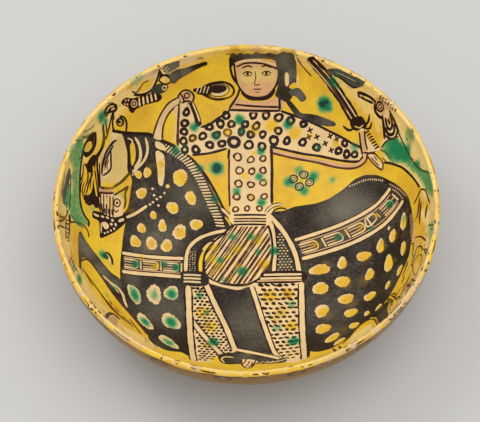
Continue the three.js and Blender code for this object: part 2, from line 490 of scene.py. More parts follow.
def paintHorseHead():
    area("cream", [(-171, 120), (-154, 118), (-138, 118), (-126, 110), (-120, 92), (-122, 76), (-124, 54),
                   (-126, 34), (-138, 16), (-153, -3), (-157, 14), (-160, 44), (-168, 72), (-170, 88),
                   (-165, 104)])
    area("tan", [(-147, 114), (-141, 116), (-134, 110), (-129, 98), (-127, 85), (-131, 73), (-138, 65),
                 (-147, 61), (-155, 62), (-151, 71), (-148, 84), (-150, 98)])
    wash("yellow", [(-158, 62), (-144, 62), (-136, 68), (-127, 80), (-122, 74), (-122, 60), (-124, 36),
                    (-131, 34), (-130, 50), (-143, 54), (-158, 56)])
    wash("yellow", [(-171, 118), (-158, 119), (-155, 106), (-162, 94), (-167, 100)], 0.7)
    strokes("ground", 2.4, [(-168, 94), (-165, 82), (-162, 66)], [(-174, 74), (-169, 58), (-163, 42)])
    strokes("clay", 1.6, [(-164, 94), (-163, 80), (-161, 68)])
    # face, cheek and jaw
    strokes("line", 3.2, [(-173, 123), (-166, 108), (-165, 100), (-168, 91), (-170, 84), (-168, 74),
                          (-164, 62), (-161, 50), (-159, 42)])
    strokes("line", 2.0, [(-166, 80), (-163, 67), (-160, 54)],
            [(-171, 70), (-167, 60), (-163, 48), (-160, 38), (-158, 28)])
    stroke("line", [(-141, 119), (-134, 111), (-129.5, 101), (-128, 91), (-127, 83), (-125, 77)], 4.4, 3)
    strokes("line", 3, [(-125, 81), (-131, 72), (-137, 65), (-144, 59)])
    strokes("line", 2.4, [(-125, 80), (-121.5, 72), (-122, 60), (-123, 48), (-125, 38), (-130, 31)])
    strokes("line", 2.4, [(-126, 65), (-131, 60), (-138, 54), (-142, 50)],
            [(-126, 65), (-129, 56), (-128, 47), (-129, 38)])
    bleed("green", (-132, 52, 4.5, 0.55))
    # the long almond eye
    strokes("line", 3, [(-147, 111), (-152, 107), (-157, 99), (-160, 90), (-161, 78), (-160, 67)], ends=3)
    strokes("grey", 1.4, [(-151, 105), (-155, 97), (-158, 88), (-158.5, 77)], ends=3)
    strokes("line", 1.8, [(-150, 104), (-154, 96), (-156.5, 86), (-157, 74)], ends=3)
    strokes("line", 2.4, [(-153, 98), (-151, 88), (-149.5, 80), (-152, 74), (-159, 67)], ends=3)
    strokes("brown", 1.4, [(-154, 88), (-155, 80), (-153, 75)], ends=3)
    # bridle: noseband, cheek straps and their rings
    area("clay", [(-161, 54), (-150, 57), (-143, 59), (-142, 52), (-151, 49), (-160, 47)])
    strokes("brown", 2.8, [(-161, 53.5), (-150, 56), (-142, 59)], [(-161, 47.5), (-151, 50), (-142, 53)])
    for number in range(5):
        u = -158.5 + 3.9 * number
        strokes("brown", 1.8, [(u, 47 + number * 0.6), (u + 1.2, 36), (u + 2, 24)])
    strokes("ground", 1.5, [(-150.5, 46), (-149.5, 34)], [(-144, 46), (-143, 32)])
    bleed("green", (-150, 42, 3, 0.4))
    ring("brown", (-137.5, 43), (4.4, 5.4), 1.6)
    dab("brown", (-137.5, 43), (1.4, 2))
    strokes("brown", 1.6, [(-141, 35), (-138, 32), (-135, 36)])
    # bit, beaded straps and the open mouth
    area("line", [(-166, 24), (-156, 26), (-143, 25), (-131, 30), (-124, 37), (-121, 33), (-127, 22),
                  (-134, 13), (-141, 6), (-148, 0), (-155, -4), (-157.5, 14), (-166, 16)])
    for u, v, wide, high, turn in ((-161.5, 20.5, 4, 1.5, 4), (-153.5, 21.8, 2.4, 1.2, 10),
                                   (-147.5, 22.6, 2, 1.2, 0), (-141.5, 21.5, 1.5, 1.8, 20),
                                   (-131.5, 24.5, 4, 1.8, 38), (-149.3, 12.8, 4, 4.2, 10),
                                   (-142.5, 16.5, 1.8, 1.5, 0), (-137.5, 17.5, 1.4, 2, 30),
                                   (-149.5, 3.4, 1.3, 1.1, 40), (-146, 6, 1.3, 1.1, 40),
                                   (-142.5, 9, 1.3, 1.1, 40), (-139, 12.3, 1.2, 1.6, 40),
                                   (-154.2, 8, 0.8, 6, 4), (-138, 27.3, 2.4, 1, 20)):
        dab("cream", (u, v), (wide, high), turn, 0.1)
    for u, v in ((-155, 28), (-151.5, 29), (-147, 30), (-143, 30), (-156, 33), (-150, 34), (-146, 27)):
        stroke("line", [(u, v + 3.5), (u + 0.8, v - 3)], 1.8)
    edged("cream", "line", [(-126, 29), (-116, 36), (-104, 47)], 3, 0.5)
    bleed("yellow", (-121, 38, 6, 0.6))


def paintHeadstall():
    area("black", [(-142, 120), (-120, 123), (-104, 124), (-88, 119), (-92, 106), (-108, 100), (-116, 88),
                   (-125, 78), (-126, 92), (-131, 107)])
    stroke("line", [(-157, 119), (-147, 120), (-136, 121), (-124, 123), (-108, 125), (-96, 122),
                    (-76, 116)], 3.8)
    area("ground", [(-129, 110), (-125, 112), (-122, 105), (-121, 95), (-124, 88), (-127, 98)])
    strokes("cream", 3.2, [(-125, 119), (-119, 113), (-115.5, 104), (-116, 95), (-121, 86)], ends=2)
    strokes("cream", 2.8, [(-112, 121), (-108.5, 113), (-108, 104), (-112, 94), (-123, 81)], ends=2)
    strokes("cream", 1.6, [(-134, 116), (-128, 115), (-126, 110)])
    area("cream", [(-99, 119), (-90, 117), (-87, 111), (-98, 112)])
    area("cream", [(-98, 108), (-89, 106), (-87, 90), (-88, 73), (-93, 74), (-95, 90)])
    strokes("line", 1.8, [(-101, 112), (-94, 110), (-86, 106)])
    bleed("yellow", (-91, 95, 5, 0.9), (-91, 86, 5, 0.7), (-97, 92, 6, 0.4), (-109, 112, 3, 0.4))
    # forelock, ears and curls
    strokes("line", 2.6, [(-172, 122), (-164, 108), (-162, 120), (-162, 140)],
            [(-160, 140), (-159, 130), (-156, 122), (-152, 119)], [(-168, 124), (-162, 112)])
    area("line", [(-154, 131), (-150, 136), (-144, 135), (-142, 130), (-145, 126), (-151, 126)])
    strokes("tan", 1.2, [(-150, 133), (-146, 132), (-147, 128), (-151, 129)])
    strokes("line", 2.8, [(-151, 137), (-144, 137), (-139, 132), (-137, 122)])
    area("line", [(-177, 134), (-176, 143), (-169, 148), (-160, 149), (-156, 145), (-158, 140), (-166, 137),
                  (-170, 131)])
    strokes("tan", 2.2, [(-172, 137), (-170, 143), (-163, 146)], [(-166, 141), (-160, 144)])
    bleed("green", (-178, 130, 9, 0.9), (-170, 126, 6, 0.8))
    bleed("yellow", (-145, 127, 4, 1))


# Soft patches of glaze by the left rim: kind, strength, outline
leftRimPatches = [
    ("cream", 0.8, [(-224, 62), (-200, 92), (-192, 84), (-184, 30), (-174, 4), (-190, -6), (-204, -4),
                    (-198, -20), (-200, -60), (-210, -84), (-226, -40), (-222, 0)]),
    ("cream", 1.0, [(-218, 90), (-204, 94), (-190, 104), (-178, 122), (-166, 146), (-150, 158), (-156, 168),
                    (-186, 150)]),
    ("green", 0.66, [(-214, 92), (-202, 97), (-195, 88), (-193, 62), (-190, 44), (-187, 30), (-183, 20),
                     (-177, 12), (-171, 8), (-174, 0), (-190, -4), (-203, 3), (-203, 30), (-207, 52),
                     (-211, 72)]),
    ("green", 0.6, [(-222, 60), (-208, 58), (-210, 82), (-220, 82)]),
    ("green", 0.72, [(-211, 36), (-205, 38), (-203.5, 8), (-209, 5), (-213, 12)]),
    ("green", 0.3, [(-206, 96), (-190, 100), (-178, 112), (-186, 116), (-204, 106)]),
    ("green", 0.24, [(-226, 4), (-206, 4), (-204, -6), (-222, -12)]),
    ("smoke", 0.5, [(-214, 54), (-210, 47), (-210, 30), (-213, 12), (-218, 6), (-226, 8), (-222, 30)]),
    ("smoke", 0.6, [(-216, 88), (-204, 90), (-196, 98), (-200, 102), (-212, 96)]),
    ("smoke", 0.7, [(-228, -14), (-210, -8), (-206, -16), (-224, -30)]),
    ("smoke", 0.5, [(-190, -4), (-180, -2), (-178, -60), (-184, -60)]),
    ("green", 0.5, [(-150, 178), (-140, 176), (-132, 184), (-130, 191), (-140, 190)]),
]

# The rider. The face is a plain calm one, with the eyes halfway up the head.
faceShape = {"middle": 13, "halfWidth": 26, "chin": 172, "crown": 226}


def paintFace():
    u, wide = faceShape["middle"], faceShape["halfWidth"]
    chin, crown = faceShape["chin"], faceShape["crown"]
    tall = crown - chin
    eyeLine = chin + tall * 0.5
    noseLine = chin + tall * 0.26
    mouthLine = chin + tall * 0.155
    outlined("buff", "line", [(u - wide, eyeLine + 14), (u - wide, eyeLine), (u - wide * 0.86, noseLine),
                              (u - wide * 0.5, chin + 3), (u, chin), (u + wide * 0.5, chin + 3),
                              (u + wide * 0.86, noseLine), (u + wide, eyeLine), (u + wide, eyeLine + 14),
                              (u + 10, eyeLine + 19), (u - 10, eyeLine + 19)], 2.4)
    wash("tanned", [(u - wide + 3, eyeLine - 2), (u - 12, eyeLine + 6), (u + 14, eyeLine + 5),
                    (u + wide - 3, eyeLine - 1), (u + wide * 0.6, noseLine + 2), (u + 6, eyeLine - 6),
                    (u - 6, noseLine), (u - wide * 0.7, noseLine + 2)])
    for side in (-1, 1):
        eye = u + side * wide * 0.43
        stroke("line", [(eye - 6.2, eyeLine - 0.5), (eye - 2, eyeLine + 2.2), (eye + 2.5, eyeLine + 2),
                        (eye + 6.2, eyeLine - 0.5)], 1.5, ends=2)
        stroke("brown", [(eye - 5.4, eyeLine - 1), (eye, eyeLine - 2.6), (eye + 5.4, eyeLine - 1)], 1.0,
               ends=2)
        dab("line", (eye, eyeLine), (1.7, 1.9))
        stroke("line", [(eye - side * 6, eyeLine + 7.5), (eye, eyeLine + 9.2),
                        (eye + side * 7, eyeLine + 6.4)], 1.9, ends=2)
        dab("clay", (u + side * wide * 0.52, noseLine + 2), (4, 3.2))
    stroke("brown", [(u - 2.2, eyeLine + 3), (u - 1.6, eyeLine - 5), (u - 3.4, noseLine + 1),
                     (u, noseLine), (u + 3, noseLine + 1)], 1.3, ends=1)
    stroke("line", [(u - 5, mouthLine + 0.8), (u - 1.5, mouthLine + 1.2), (u, mouthLine + 0.6),
                    (u + 1.5, mouthLine + 1.2), (u + 5, mouthLine + 0.8)], 1.4, ends=2)
    stroke("brown", [(u - 2.6, mouthLine - 2), (u, mouthLine - 2.6), (u + 2.6, mouthLine - 2)], 0.9)
    stroke("line", [(u - wide * 0.72, chin + 6), (u - 10, chin), (u, chin - 1.6), (u + 12, chin),
                    (u + wide * 0.8, chin + 8)], 3.6, ends=2)


def paintHat():
    wash("cream", [(-14, 222), (-12, 231), (60, 231), (60, 220), (30, 222), (10, 224)], 0.6)
    for points in ([(-20, 218), (-20, 234), (-10, 234), (-9, 222)], [(-10, 222), (-2, 230), (4, 224)],
                   [(8, 222), (12, 233), (18, 232), (22, 224)],
                   [(46, 220), (47, 233), (60, 231), (62, 218)], [(28, 222), (36, 228), (44, 222)]):
        wash("smoke", points)
        wash("yellow", points, 0.5)
    area("black", [(-20, 206), (-20, 222), (-16, 225), (-12, 223), (-7, 225.5), (-3, 223), (2, 224.5),
                   (8, 223), (12, 226.5), (17, 224), (24, 223.5), (30, 225), (36, 222.5), (42, 223.5),
                   (48, 226), (54, 224), (60, 225), (60, 208), (46, 209), (41, 213), (20, 217), (0, 216),
                   (-12, 212)])
    strokes("line", 3, [(-20, 220), (-19, 206), (-16, 196), (-10, 187)])
    strokes("cream", 2.4, [(-14, 211), (0, 215), (20, 214), (40, 207)])
    strokes("line", 2.2, [(-12, 207), (0, 211.5), (20, 210.5), (40, 203)])
    area("black", [(38, 216), (60, 216), (61, 200), (59, 186), (57, 178), (48, 172), (40, 170), (33, 174),
                   (36, 182), (38, 196)])
    area("cream", [(46.5, 198), (50.5, 198), (50, 185), (46, 184)])
    area("ground", [(50, 182), (54, 186), (59, 186), (58, 178)])
    stroke("cream", [(62, 196), (61, 188), (60, 180)], 2.2)
    bleed("hazeAndSheen", (45, 215, 12, 0.7), (10, 221, 14, 0.5), (54, 195, 10, 0.6))
    # ribbon tails from the knot behind the neck
    area("black", [(36, 174), (46, 182), (53, 177), (52, 170), (46, 166), (38, 170)])
    area("grey", [(50, 178), (60, 181), (66, 175), (69, 168), (63, 165), (57, 171), (51, 173)])
    area("black", [(48, 169), (56, 160), (62, 153), (73, 151), (86, 146), (99, 139), (99, 135), (88, 136),
                   (75, 141), (62, 147), (54, 152), (45, 166)])
    bleed("hazeAndSheen", (90, 142, 9, 0.6), (61, 153, 7, 0.4), (61, 173, 6, 0.6))


def paintCollar():
    area("buff", [(-12, 174), (-19, 161), (-18, 158), (38, 157), (39, 172), (28, 170), (9, 167), (-4, 170)])
    strokes("line", 2.6, [(-7, 184), (-10, 174), (-19, 160)], [(-20, 159), (0, 158.5), (38, 157)])
    strokes("line", 2.2, [(-13, 165), (8, 163), (37, 161)])
    strokes("line", 3, [(38, 173), (37.5, 157)])


tunicShape = {
    "cloth": [(-75, 163), (-64, 166), (-58, 158), (-48, 141), (-34, 148), (-18, 158), (10, 158), (38, 157),
              (60, 148), (76, 140), (92, 130), (106, 121), (119, 112), (128, 105), (128, 97), (121, 93),
              (100, 98), (80, 105), (58, 111), (40, 116), (26, 120), (26, 90), (26, 60), (27, 44), (5, 41),
              (-15, 43), (-17, 62), (-18, 90), (-17, 112), (-22, 118), (-40, 113), (-60, 109), (-74, 115),
              (-75, 140)],
    "bigRings": [(-67, 154, 5), (-22, 153, 4.8), (8, 153.5, 5), (22, 153, 4.8), (36, 150, 5.4),
                 (-68, 142, 5), (-28, 144, 5), (-16, 144, 4.6), (-1, 144, 4.6), (11, 142, 5), (49, 146, 5),
                 (-68, 133, 4.8), (-40, 140, 5), (-5, 136, 4.6), (5, 133, 4.6), (18, 133, 4.6),
                 (35, 136, 4.6), (-47, 130, 5), (-32, 132, 4.8), (3, 122, 5.4), (17, 120, 5.2),
                 (30, 126, 5.8), (44, 125, 5), (-68, 123, 5), (-39, 121, 5), (-26, 123, 5), (-54, 115, 5),
                 (-66, 114, 4.6), (63, 141, 4.6), (61, 122, 4.8), (-58, 127, 4.6), (76, 115, 4.8),
                 (108, 115, 4.6), (100, 108, 4.8), (109, 103, 5), (118, 101, 4.6)],
    "fineRings": [(-9, 109, 5), (5, 106, 4.6), (18, 107, 4.4), (-7, 94, 5), (6, 93, 4.4), (18, 94, 4.6),
                  (-8, 79, 5), (5, 78, 4.6), (18, 80, 4.4), (-10, 64, 5), (5, 63, 4.6), (19, 64, 4.4),
                  (-11, 49, 4), (1, 50, 4), (14, 50, 4), (-20, 135, 5)],
    "crosses": [(70, 134), (77, 126), (92, 125), (86, 118), (92, 110), (68, 127), (99, 121)],
}


def paintTunic():
    area("cream", tunicShape["cloth"])
    for u, v, size in tunicShape["bigRings"]:
        ring("line", (u, v), (size + 0.3, size * hand.uniform(0.86, 1.0) + 0.3), hand.uniform(2.9, 3.7),
             hand.uniform(0, 90), 0.1)
    ring("line", (-13, 125), (7.6, 7), 4.2)
    for u, v, size in tunicShape["fineRings"]:
        ring("brown", (u, v), (size, size * hand.uniform(0.86, 1.02)), hand.uniform(1.9, 2.5),
             hand.uniform(0, 90), 0.1)
    for u, v in tunicShape["crosses"]:
        stroke("line", [(u - 3.4, v - 1), (u + 3.4, v + 1)], 2)
        stroke("line", [(u - 1, v + 3.4), (u + 1, v - 3.4)], 2)
    bleed("yellow", (28, 142, 8, 1), (9, 138, 7, 0.9), (-20, 135, 5, 0.9), (53, 133, 8, 1),
          (-1, 88, 5, 0.8), (5, 63, 3.5, 0.8), (-58, 127, 5, 0.8), (9, 113, 4, 0.8), (98, 116, 5, 0.9),
          (70, 128, 4.5, 0.8), (20, 80, 4, 0.5), (-16, 146, 4, 0.6))
    bleed("green", (-7, 149, 6.5, 1), (-5, 136, 5, 0.8), (46, 142, 6.5, 0.9), (-33, 131, 6, 0.9),
          (-57, 139, 6, 0.9), (16, 115, 5.5, 0.9), (14, 87, 5.5, 0.9), (-10, 70, 6, 0.8), (16, 57, 6, 0.9),
          (78, 115, 4.5, 0.7), (119, 109, 6.5, 0.7), (19, 83, 4, 0.6))


def paintArms():
    # outlines of the shoulders, sleeves and body of the tunic
    strokes("line", 2.8, [(-18, 158), (-30, 150), (-40, 143), (-50, 139)],
            [(-20, 118), (-40, 112), (-58, 109)],
            [(38, 157), (60, 148), (76, 140), (92, 130), (106, 121), (118, 112), (127, 106), (129, 99),
             (123, 93)], [(25, 120), (40, 116), (60, 110), (80, 105), (100, 98), (116, 93.5), (124, 93)])
    area("buff", [(27, 117), (50, 110.5), (76, 103), (100, 95), (118, 91), (128, 94), (131, 99), (134, 97),
                  (128, 88), (116, 86), (98, 89), (74, 98), (50, 105), (28, 112)])
    strokes("brown", 2.4, [(27, 113), (50, 106), (75, 99), (99, 90), (117, 86.5), (129, 90), (134, 98)])
    strokes("line", 3.2, [(-18, 118), (-19, 106)], [(27, 120), (27.5, 96), (27, 74), (27, 55)])
    strokes("brown", 2.2, [(-18, 108), (-18, 80), (-17, 52)])
    strokes("brown", 3.2, [(-77, 164), (-76, 148), (-75, 132), (-74, 117)])
    # cuff, raised hand and the cloak behind the arm
    stroke("line", [(-65, 166), (-57, 154), (-51, 140)], 8)
    strokes("cream", 1.8, [(-66, 163), (-60, 152), (-57, 143)], [(-61, 165), (-55, 154), (-51, 145)])
    area("buff", [(-76, 164), (-79, 171), (-74, 177), (-66, 177), (-61, 172), (-62, 165)])
    strokes("line", 2.2, [(-75, 163), (-79, 170), (-74, 177), (-66, 177.5), (-60, 172), (-61, 165)],
            [(-74, 163), (-68, 166), (-61, 165)], [(-77, 174), (-72, 168), (-71, 163)])
    ring("line", (-68.5, 172), (4, 3.8), 1.8)
    area("cream", [(-78, 168), (-90, 160), (-99, 144), (-103, 124), (-92, 122), (-91, 136), (-86, 152),
                   (-78, 161)])
    strokes("brown", 2.2, [(-79, 169), (-90, 161), (-98, 146), (-102, 130), (-103, 122)],
            [(-78, 161), (-87, 151), (-92, 137), (-92, 121)])
    wash("yellow", [(-89, 144), (-82, 152), (-79, 140), (-79, 126), (-89, 123), (-91, 134)])
    area("cream", [(-82, 156), (-78, 160), (-77, 150), (-76.5, 132), (-77, 121), (-80, 124), (-80, 140)])
    bleed("green", (-76, 111, 6, 0.9), (-66, 118, 4, 0.6))


def paintCup():
    area("line", [(-58, 176), (-50, 184), (-40, 189), (-27, 190.5), (-17, 187), (-12.5, 180), (-16, 173),
                  (-26, 169), (-38, 169), (-49, 173)])
    area("ground", [(-46, 178), (-40, 184), (-28, 187.8), (-19, 184.8), (-15.2, 180), (-18, 174.5),
                    (-27, 171.6), (-38, 172)])
    dab("brown", (-32, 180), (13.6, 7.6), 4, 0.02)
    dab("cream", (-32, 180), (12, 6.4), 4, 0.02)
    dab("line", (-32.5, 181.4), (10.2, 4.8), 4, 0.03)
    area("line", [(-56, 177), (-50, 183), (-42, 186), (-39, 180), (-41, 174), (-49, 174)])
    stroke("line", [(-62, 178.5), (-56, 179), (-50, 180)], 5)
    for u in (-56, -52, -48, -44):
        stroke("cream", [(u - 1.4, 176), (u + 0.6, 184)], 1.2)
    bleed("yellow", (-20, 174, 5, 1.2), (-40, 173, 4, 0.8))


def paintSword():
    stroke("line", [(80, 217), (94, 196), (107, 174), (117, 154), (125, 135)], 13.6, ends=0.1)
    strokes("cream", 1.3, [(75.5, 214.5), (89.5, 194.5), (103, 173.5), (113.5, 154), (121, 138)])
    strokes("cream", 1.7, [(85, 213), (98, 194), (110.5, 173), (120, 154), (127, 139)])
    strokes("plum", 2.6, [(86, 203), (98, 185), (108, 166), (117, 149)])
    strokes("brown", 1.8, [(64, 218), (69, 206), (79, 192)], [(91, 213), (99, 201), (106, 189)])
    bleed("yellow", (84, 196, 4, 0.5))
    bleed("green", (104, 184, 7, 0.9), (109, 178, 5, 0.7), (101, 190, 4, 0.6))
    # cross guard, grip and the hand round it
    area("line", [(118, 138), (132, 140), (138, 132), (137, 126), (127, 125), (119, 128)])
    strokes("line", 3, [(134, 129), (141, 132), (145, 140)], [(135, 125), (142, 125), (146, 131)],
            [(121, 128), (114, 128), (108, 134)], ends=2.5)
    strokes("tan", 1.4, [(122, 131), (128, 128), (134, 130)])
    area("cream", [(127, 124), (134, 125), (137, 112), (149, 102), (150, 96), (142, 94), (136, 97),
                   (128, 97)])
    area("buff", [(128, 122), (132, 122), (133, 100), (128, 99)])
    strokes("line", 2.2, [(127, 124), (126.5, 110), (127, 98)], [(134, 124), (133, 112), (134, 102)])
    for number in range(7):
        u, v = 137 + 1.6 * number, 121 - 3.2 * number
        stroke("line", [(u - 3, v - 1), (u, v + 0.6), (u + 3.6, v + 0.4)], 1.9)
    strokes("line", 1.8, [(128, 101), (135, 99), (142, 98), (149, 96)])
    for number in range(3):
        dab("line", (132 + 3.6 * number, 95.5 - number), (1.2, 1.5))
    # the yellow cuff leaf below the hand
    area("ground", [(142, 97), (150, 98), (157, 91), (160, 85), (155, 85), (148, 88), (143, 92)])
    outlined("cream", "brown", [(133, 98), (136, 91), (142, 83), (149, 77), (151, 84), (146, 92),
                                (141, 97)], 2)
    strokes("brown", 1.4, [(137, 94), (141, 88), (146, 82)], [(141, 94), (145, 88)])
    strokes("brown", 2, [(150, 99), (158, 93), (161, 85)], [(151, 90), (156, 84)])
    bleed("yellow", (151, 91, 6, 1), (142, 88, 3, 0.5))


# Saddle, skirt and the rider's leg
skirtLoop = [(-10, 32), (-20, 22), (-32, 10), (-39, 2), (-43, -8), (-43, -22), (-40, -32), (-28, -39),
             (-8, -40), (6, -37), (18, -26), (25, -10), (26, 8), (24, 22), (21, 32)]


def paintSash():
    area("cream", [(-15, 44), (22, 44), (23, 30), (-12, 30)])
    for v, width, colour in ((42, 2.4, "line"), (37.5, 2, "brown"), (34.3, 1.8, "line"),
                             (30.6, 2.4, "line")):
        stroke(colour, [(-13, v), (4, v + 0.4), (21, v)], width)


def paintSkirt():
    loop = area("cream", skirtLoop)
    hatch("brown", loop, 59, 4.6, 2.0, 1.0)
    hatch("line", loop, 59, 9.2, 1.2, 3.2)
    bleed("yellow", (-36, -10, 7, 0.9), (-28, -18, 6, 0.8), (-10, 1, 7, 0.8), (-18, -8, 5, 0.7),
          (12, 13, 7, 0.9), (18, -17, 7, 1.1), (-8, -19, 5, 0.8), (0, 8, 5, 0.5), (-33, -26, 5, 0.7),
          (-16, -33, 5, 0.6), (-34, 3, 6, 0.8), (8, -28, 5, 0.5))
    bleed("green", (-14, 16, 5.5, 0.8), (5, 16, 5.5, 0.8), (-27, -12, 5, 0.8), (-4, -25, 6.5, 1),
          (12, -2, 5, 0.7), (-23, -35, 5, 0.6), (13, 13, 4, 0.4), (-12, 3, 4, 0.4))
    strokes("line", 2.4, [(-13, 31), (-22, 21), (-33, 10), (-39, 2), (-43, -8), (-43, -22), (-40, -32),
                          (-28, -39)],
            [(21, 34), (25, 22), (27, 6), (26, -12), (20, -26), (7, -38), (-8, -41), (-28, -39)])
    edged("cream", "line", [(-43, -34), (-30, -41), (-15, -45), (0, -45), (6, -41)], 4.4, 1.2, ends=1.5)


def paintSaddle():
    area("black", [(-22, 26), (-12, 32), (-26, 8), (-36, -2), (-42, -20), (-42, -46), (-62, -46), (-62, -6),
                   (-54, 10), (-38, 20)])
    edged("cream", "line", [(-20, 24), (-35, 20), (-48, 14), (-57, 5), (-61, -6), (-62, -30)], 3.6, 1.2,
          ends=2)
    strokes("cream", 2, [(-21, 22), (-30, 14), (-39, 7), (-45, 0)])
    stroke("ground", [(-26, 7), (-37, 5), (-43, -2), (-46.6, -13), (-46.6, -30)], 3.4)
    strokes("line", 1.8, [(-24, 12), (-38, 10), (-47, 2), (-51, -10), (-51, -28)])
    for row in range(11):
        for u in (-57.6, -55.2, -52.8):
            spot = (u + hand.uniform(-0.5, 0.5), -27.5 + 2.5 * row + hand.uniform(-0.5, 0.5))
            dab("cream", spot, (hand.uniform(0.4, 0.7), hand.uniform(0.4, 0.8)), 0, 0.2)
    area("black", [(23, 40), (31, 32), (42, 14), (50, -6), (55, -28), (20, -28), (26, -6), (27, 14)])
    for row, v in enumerate(np.arange(-24, 20, 3.3)):
        for u in np.arange(33 + (row % 2) * 1.8, 49 - (v + 24) * 0.28, 3.7):
            lean = 0.7 if row % 2 else -0.7
            stroke("cream", [(u - 1.1, v - lean), (u + 1.1, v + lean)], 1.1, rough=0.3)
    edged("cream", "line", [(23, 41), (27, 26), (29, 8), (29, -10), (28, -27)], 3.8, 1.2)
    edged("cream", "line", [(23, 43), (31, 33), (39, 21), (46, 7), (51, -8), (54, -27)], 4.6, 1.4)
    bleed("green", (28.5, -1, 5.5, 1), (39, -12, 7, 0.5), (36, 8, 5, 0.4))
    edged("cream", "line", [(20, 44), (24, 50), (31, 54), (39, 54)], 2.2, 1.2, ends=1.5)
    strokes("line", 1.8, [(27, 43), (30, 48), (37, 50), (43, 48)])
    edged("cream", "line", [(-26, 50), (-18, 41), (-14, 33)], 2.8, 1.2, ends=1.5)
    strokes("ground", 2, [(-22, 40), (-18, 34), (-16, 29)])


def paintGirth():
    area("black", [(-64, -27), (-42, -27), (-40, -42), (-64, -42)])
    for v in (-30.5, -34.6, -38.7):
        stroke("cream", [(-64, v), (-56, v + 0.3), (-46, v)], 2.2)
    area("line", [(20, -25.5), (57, -25.5), (57, -38.5), (8, -38.5), (13, -33)])
    for v, left, colour in ((-29.4, 17.5, "cream"), (-33.8, 14, "cream"), (-36.6, 11, "buff")):
        stroke(colour, [(left, v), (36, v + 0.4), (56.5, v)], 2.5 if v > -35 else 1.6)


def paintLeg():
    area("cream", [(-56, -42), (-43, -40), (-36, -58), (-27, -80), (-18, -104), (-11, -126), (-20, -136),
                   (-30, -143), (-40, -150), (-52, -151), (-54, -120), (-56, -86)])
    netting("line", [(-54, -44), (-44, -42), (-37, -60), (-28, -82), (-19, -105), (-14, -128), (-24, -138),
                     (-48, -150), (-50, -100)], (4.8, 4.0), (2.0, 1.55), 15)
    area("cream", [(7, -39), (54, -39), (55, -80), (56, -150), (38, -150), (30, -132), (22, -106),
                   (14, -74)])
    netting("line", [(11, -41), (51, -41), (52, -80), (53, -148), (39, -148), (32, -132), (24, -106),
                     (16, -74)],
            (6.6, 5.6), (2.9, 1.75), -15)
    bleed("yellow", (-44, -75, 7, 1), (-36, -93, 7.5, 1), (-39, -119, 5, 0.9), (-32, -142, 5, 1),
          (24, -55, 8, 1), (42, -52, 7, 1), (34, -75, 8, 0.7), (45, -93, 7, 1), (29, -84, 6, 0.6),
          (46, -136, 6, 0.5))
    bleed("green", (-47, -55, 5, 0.7), (-33, -114, 6.5, 1), (-40, -75, 4, 0.7), (46, -66, 6, 0.6),
          (31, -95, 6.5, 0.6), (47, -115, 7, 1), (37, -78, 4, 0.4), (22, -80, 4, 0.4))
    area("black", [(-40, -40), (-24, -44), (-8, -47), (4, -44), (9, -60), (15, -82), (21, -106), (27, -131),
                   (14, -129), (-7, -123), (-14, -100), (-25, -72), (-34, -50)])
    edged("cream", "line", [(-42, -38), (-35, -56), (-27, -76), (-19, -97), (-11.5, -124)], 4.8, 1.8)
    edged("cream", "line", [(5, -42), (10, -60), (15, -80), (21, -103), (28, -130), (36, -145)], 4, 1.5)
    edged("cream", "line", [(-55, -85), (-47, -99), (-37, -114), (-28, -128), (-24, -135)], 4.2, 1.6)
    edged("cream", "line", [(-59, -43), (-57.5, -80), (-56, -112), (-53.5, -152)], 5.4, 1.8)
    edged("cream", "line", [(56, -39), (56, -90), (57, -120), (59, -152)], 5.2, 1.7)
    strokes("line", 2.4, [(62, -124), (63, -136), (63, -148)])
    area("black", [(-27, -133), (-14, -129), (-8, -126), (0, -131), (14, -135), (28, -140), (39, -143),
                   (39, -150), (24, -151), (8, -149), (-4, -149), (-16, -151), (-24, -149), (-28, -142)])
    edged("cream", "line", [(-11, -124), (0, -127), (14, -132), (27, -138), (33, -142)], 3.8, 1.4)
    strokes("tan", 2, [(-13, -137), (-21, -136.5), (-25, -141), (-22, -148)])
    area("cream", [(-5, -141), (-5, -149), (-1, -158), (4, -158), (8, -148), (12, -146), (6, -141)])
    for u, v in ((-4, -150), (-1, -155), (2, -157), (5, -154)):
        stroke("brown", [(u, v), (u + 3, v + 7), (u + 4, v + 12)], 1.5)
    strokes("brown", 2, [(-5, -141), (-5, -150), (-1, -158), (4, -158), (8, -149)])
    for u in (13, 18, 23, 28):
        stroke("buff", [(u, -149), (u + 4, -145)], 1.2)
    strokes("tan", 1.6, [(20, -148), (32, -147), (42, -143)])
    bleed("hazeAndSheen", (0, -85, 24, 0.5), (-2, -140, 12, 0.4))


